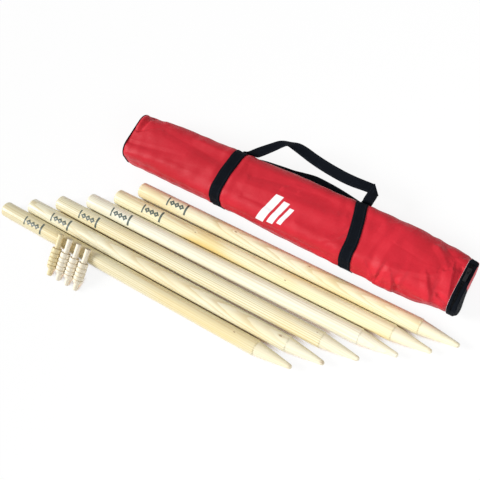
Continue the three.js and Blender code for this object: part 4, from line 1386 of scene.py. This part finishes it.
# The zip's far end is folded over into a short tab, whose section is this line
tab_width = 0.0095
tab_line = smooth_line([
    (0.4345, 0.1466, 0.0684), (0.4385, 0.1462, 0.0700), (0.4430, 0.1460, 0.0702),
    (0.4474, 0.1458, 0.0690), (0.4500, 0.1456, 0.0662), (0.4492, 0.1456, 0.0632),
    (0.4454, 0.1458, 0.0622), (0.4415, 0.1462, 0.0628),
], 36)
tab_side = np.array([-0.10, 0.86, -0.50]) * tab_width / 2
tab_rows = []
for share in np.linspace(-1, 1, 7):
    drawn_in = 0.2 * share ** 4  # the tab's two edges are a little tighter than its middle
    tab_rows.append(tab_line + tab_side * share + (tab_line.mean(0) - tab_line) * drawn_in)
tab_cloth = cloth_map(run_lengths(tab_line), np.linspace(0, tab_width, len(tab_rows)))
tab_mesh = grid_mesh("bag_zip_end_roll", np.stack(tab_rows, 1), tab_cloth)
zip_tab = new_object("bag_zip_end_roll", tab_mesh, [materials["tape"]])
solid(zip_tab, 0.0022, 0)
finish_piece(zip_tab, "end_flap", "zip_tape")
finish_piece(flap_tape, "end_flap", "zip_tape", "bag_zip_tape_flap")
for name, body, root, towards, phase in (
    ("body", "bag", teeth_body_start, 1, 0.0),
    ("flap", "end_flap", teeth_flap_end, -1, zip_pitch / 2),
):
    row = teeth_row(f"bag_zip_teeth_{name}_row", root, towards, phase)
    finish_piece(row, body, "zip_teeth", f"bag_zip_teeth_{name}")
half_hinge = zip_from * 0.5
hinge = end_band("bag_flap_hinge_cloth", tape_start, flap_start - 0.0002, -half_hinge, half_hinge,
                 hinge_thickness, 60)
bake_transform(hinge)
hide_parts("bag_flap_hinge")

ring, _ = ring_at(bag_length, 200)
flap_place = bag_start + flap_start
levels = [(flap_place, 1.0), (flap_place + 0.0032, 1.0), (flap_place + 0.0040, 0.996)]
levels += [(flap_place + 0.0045, 0.985), (flap_place + 0.0049, 0.965)]
for share in np.linspace(0.94, 0.004, 24):
    levels.append((flap_place + 0.0050 + 0.0015 * (1 - share ** 2), share))
end_flap = panel("bag_end_flap_cloth", ring, levels)
face = np.array([v.co for v in end_flap.data.vertices])
face[:, 0] -= slanted(face)
end_flap.data.vertices.foreach_set("co", face.ravel())
finish_piece(end_flap, "end_flap", "red_cloth", "bag_end_flap")

# The zip's metal pieces are the solids themselves, with eased edges
for name in ("bag_zip_slider", "bag_zip_puller", "bag_zip_stop_start", "bag_zip_stop_end"):
    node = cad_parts[name]
    node.data.materials.clear()
    node.data.materials.append(materials["metal"])
    ease = node.modifiers.new("ease", "BEVEL")
    ease.width = 0.0003
    ease.segments = 2
    ease.limit_method = "ANGLE"

# Floor, world and lamps. The floor is seen as white, but takes a soft shade where a piece stands
# close over it; beside the wood that shade is painted warm brown, a painted bounce of light off the
# wood
FLOOR_SIZE = 12
SUN_SPREAD = 28  # degrees
SKY_LIGHT = 0.33  # how bright the white surroundings are as a lamp; seen straight they are 1


def seen_directly(n):
    """1 for what the camera sees, straight, mirrored or through glass, and 0 for bounced light."""
    rays = n.make("LightPath").outputs
    return n.larger(n.larger(rays["Is Camera Ray"], rays["Is Glossy Ray"]), rays["Is Transmission Ray"])


floor_mesh = bpy.data.meshes.new("floor")
half = FLOOR_SIZE / 2
floor_corners = [(-half, -half, 0), (half, -half, 0), (half, half, 0), (-half, half, 0)]
floor_mesh.from_pydata(floor_corners, [], [(0, 1, 2, 3)])
n = material_nodes("floor_white")
glow = n.make("Emission", {"Color": (1, 1, 1), "Strength": 1.0})
nook = n.make("AmbientOcclusion", {"Distance": 0.014}, samples=8)
open_share = n.step(nook.outputs["AO"], 0.15, 0.6)
near_wood = n.within(n.split(n.place())[1], -0.3, 0.01, 0.01)
# painted warm bounce: in the nooks beside the wood the floor's colour turns brown, standing in for
# light bounced off the wood
warm = n.times(n.step(nook.outputs["AO"], 0.52, 0.34), near_wood)
diffuse = n.make("BsdfDiffuse", {"Color": n.mix(warm, (0.93, 0.93, 0.93), (0.72, 0.42, 0.13))})
open_share = n.times(open_share, n.linear(warm, -0.95, 1.0))
seen = n.times(seen_directly(n), n.times(open_share, 0.88))
both = n.make("MixShader", {0: seen, 1: diffuse.outputs[0], 2: glow.outputs[0]})
n.make("OutputMaterial", {0: both.outputs[0]})
floor = new_object("floor", floor_mesh, [n.owner], False)

world = bpy.data.worlds.new("world")
scene.world = world
n = Nodes(world)
sky = n.make("Background", {"Color": (1, 1, 1), "Strength": SKY_LIGHT})
white = n.make("Background", {"Color": (1, 1, 1), "Strength": 1.0})
both = n.make("MixShader", {0: seen_directly(n), 1: sky.outputs[0], 2: white.outputs[0]})
n.make("OutputWorld", {0: both.outputs[0]})


def lamp(name, place, aim, size, power):
    """A square area lamp, or with no size a far and even one."""
    data = bpy.data.lights.new(name, "AREA" if size else "SUN")
    if size:
        data.size = size
    else:
        data.angle = math.radians(SUN_SPREAD)
    data.energy = power
    lamp_object = bpy.data.objects.new(name, data)
    lamp_object.location = place
    lamp_object.rotation_mode = "QUATERNION"
    lamp_object.rotation_quaternion = (Vector(aim) - Vector(place)).to_track_quat("-Z", "Y")
    scene.collection.objects.link(lamp_object)


lamp("key", (-2.2, -1.0, 1.5), (0, 0, 0), 0, 3.4)
lamp("top", (1.0, -0.5, 1.0), (0.4, 0.0, 0), 0.7, 8)
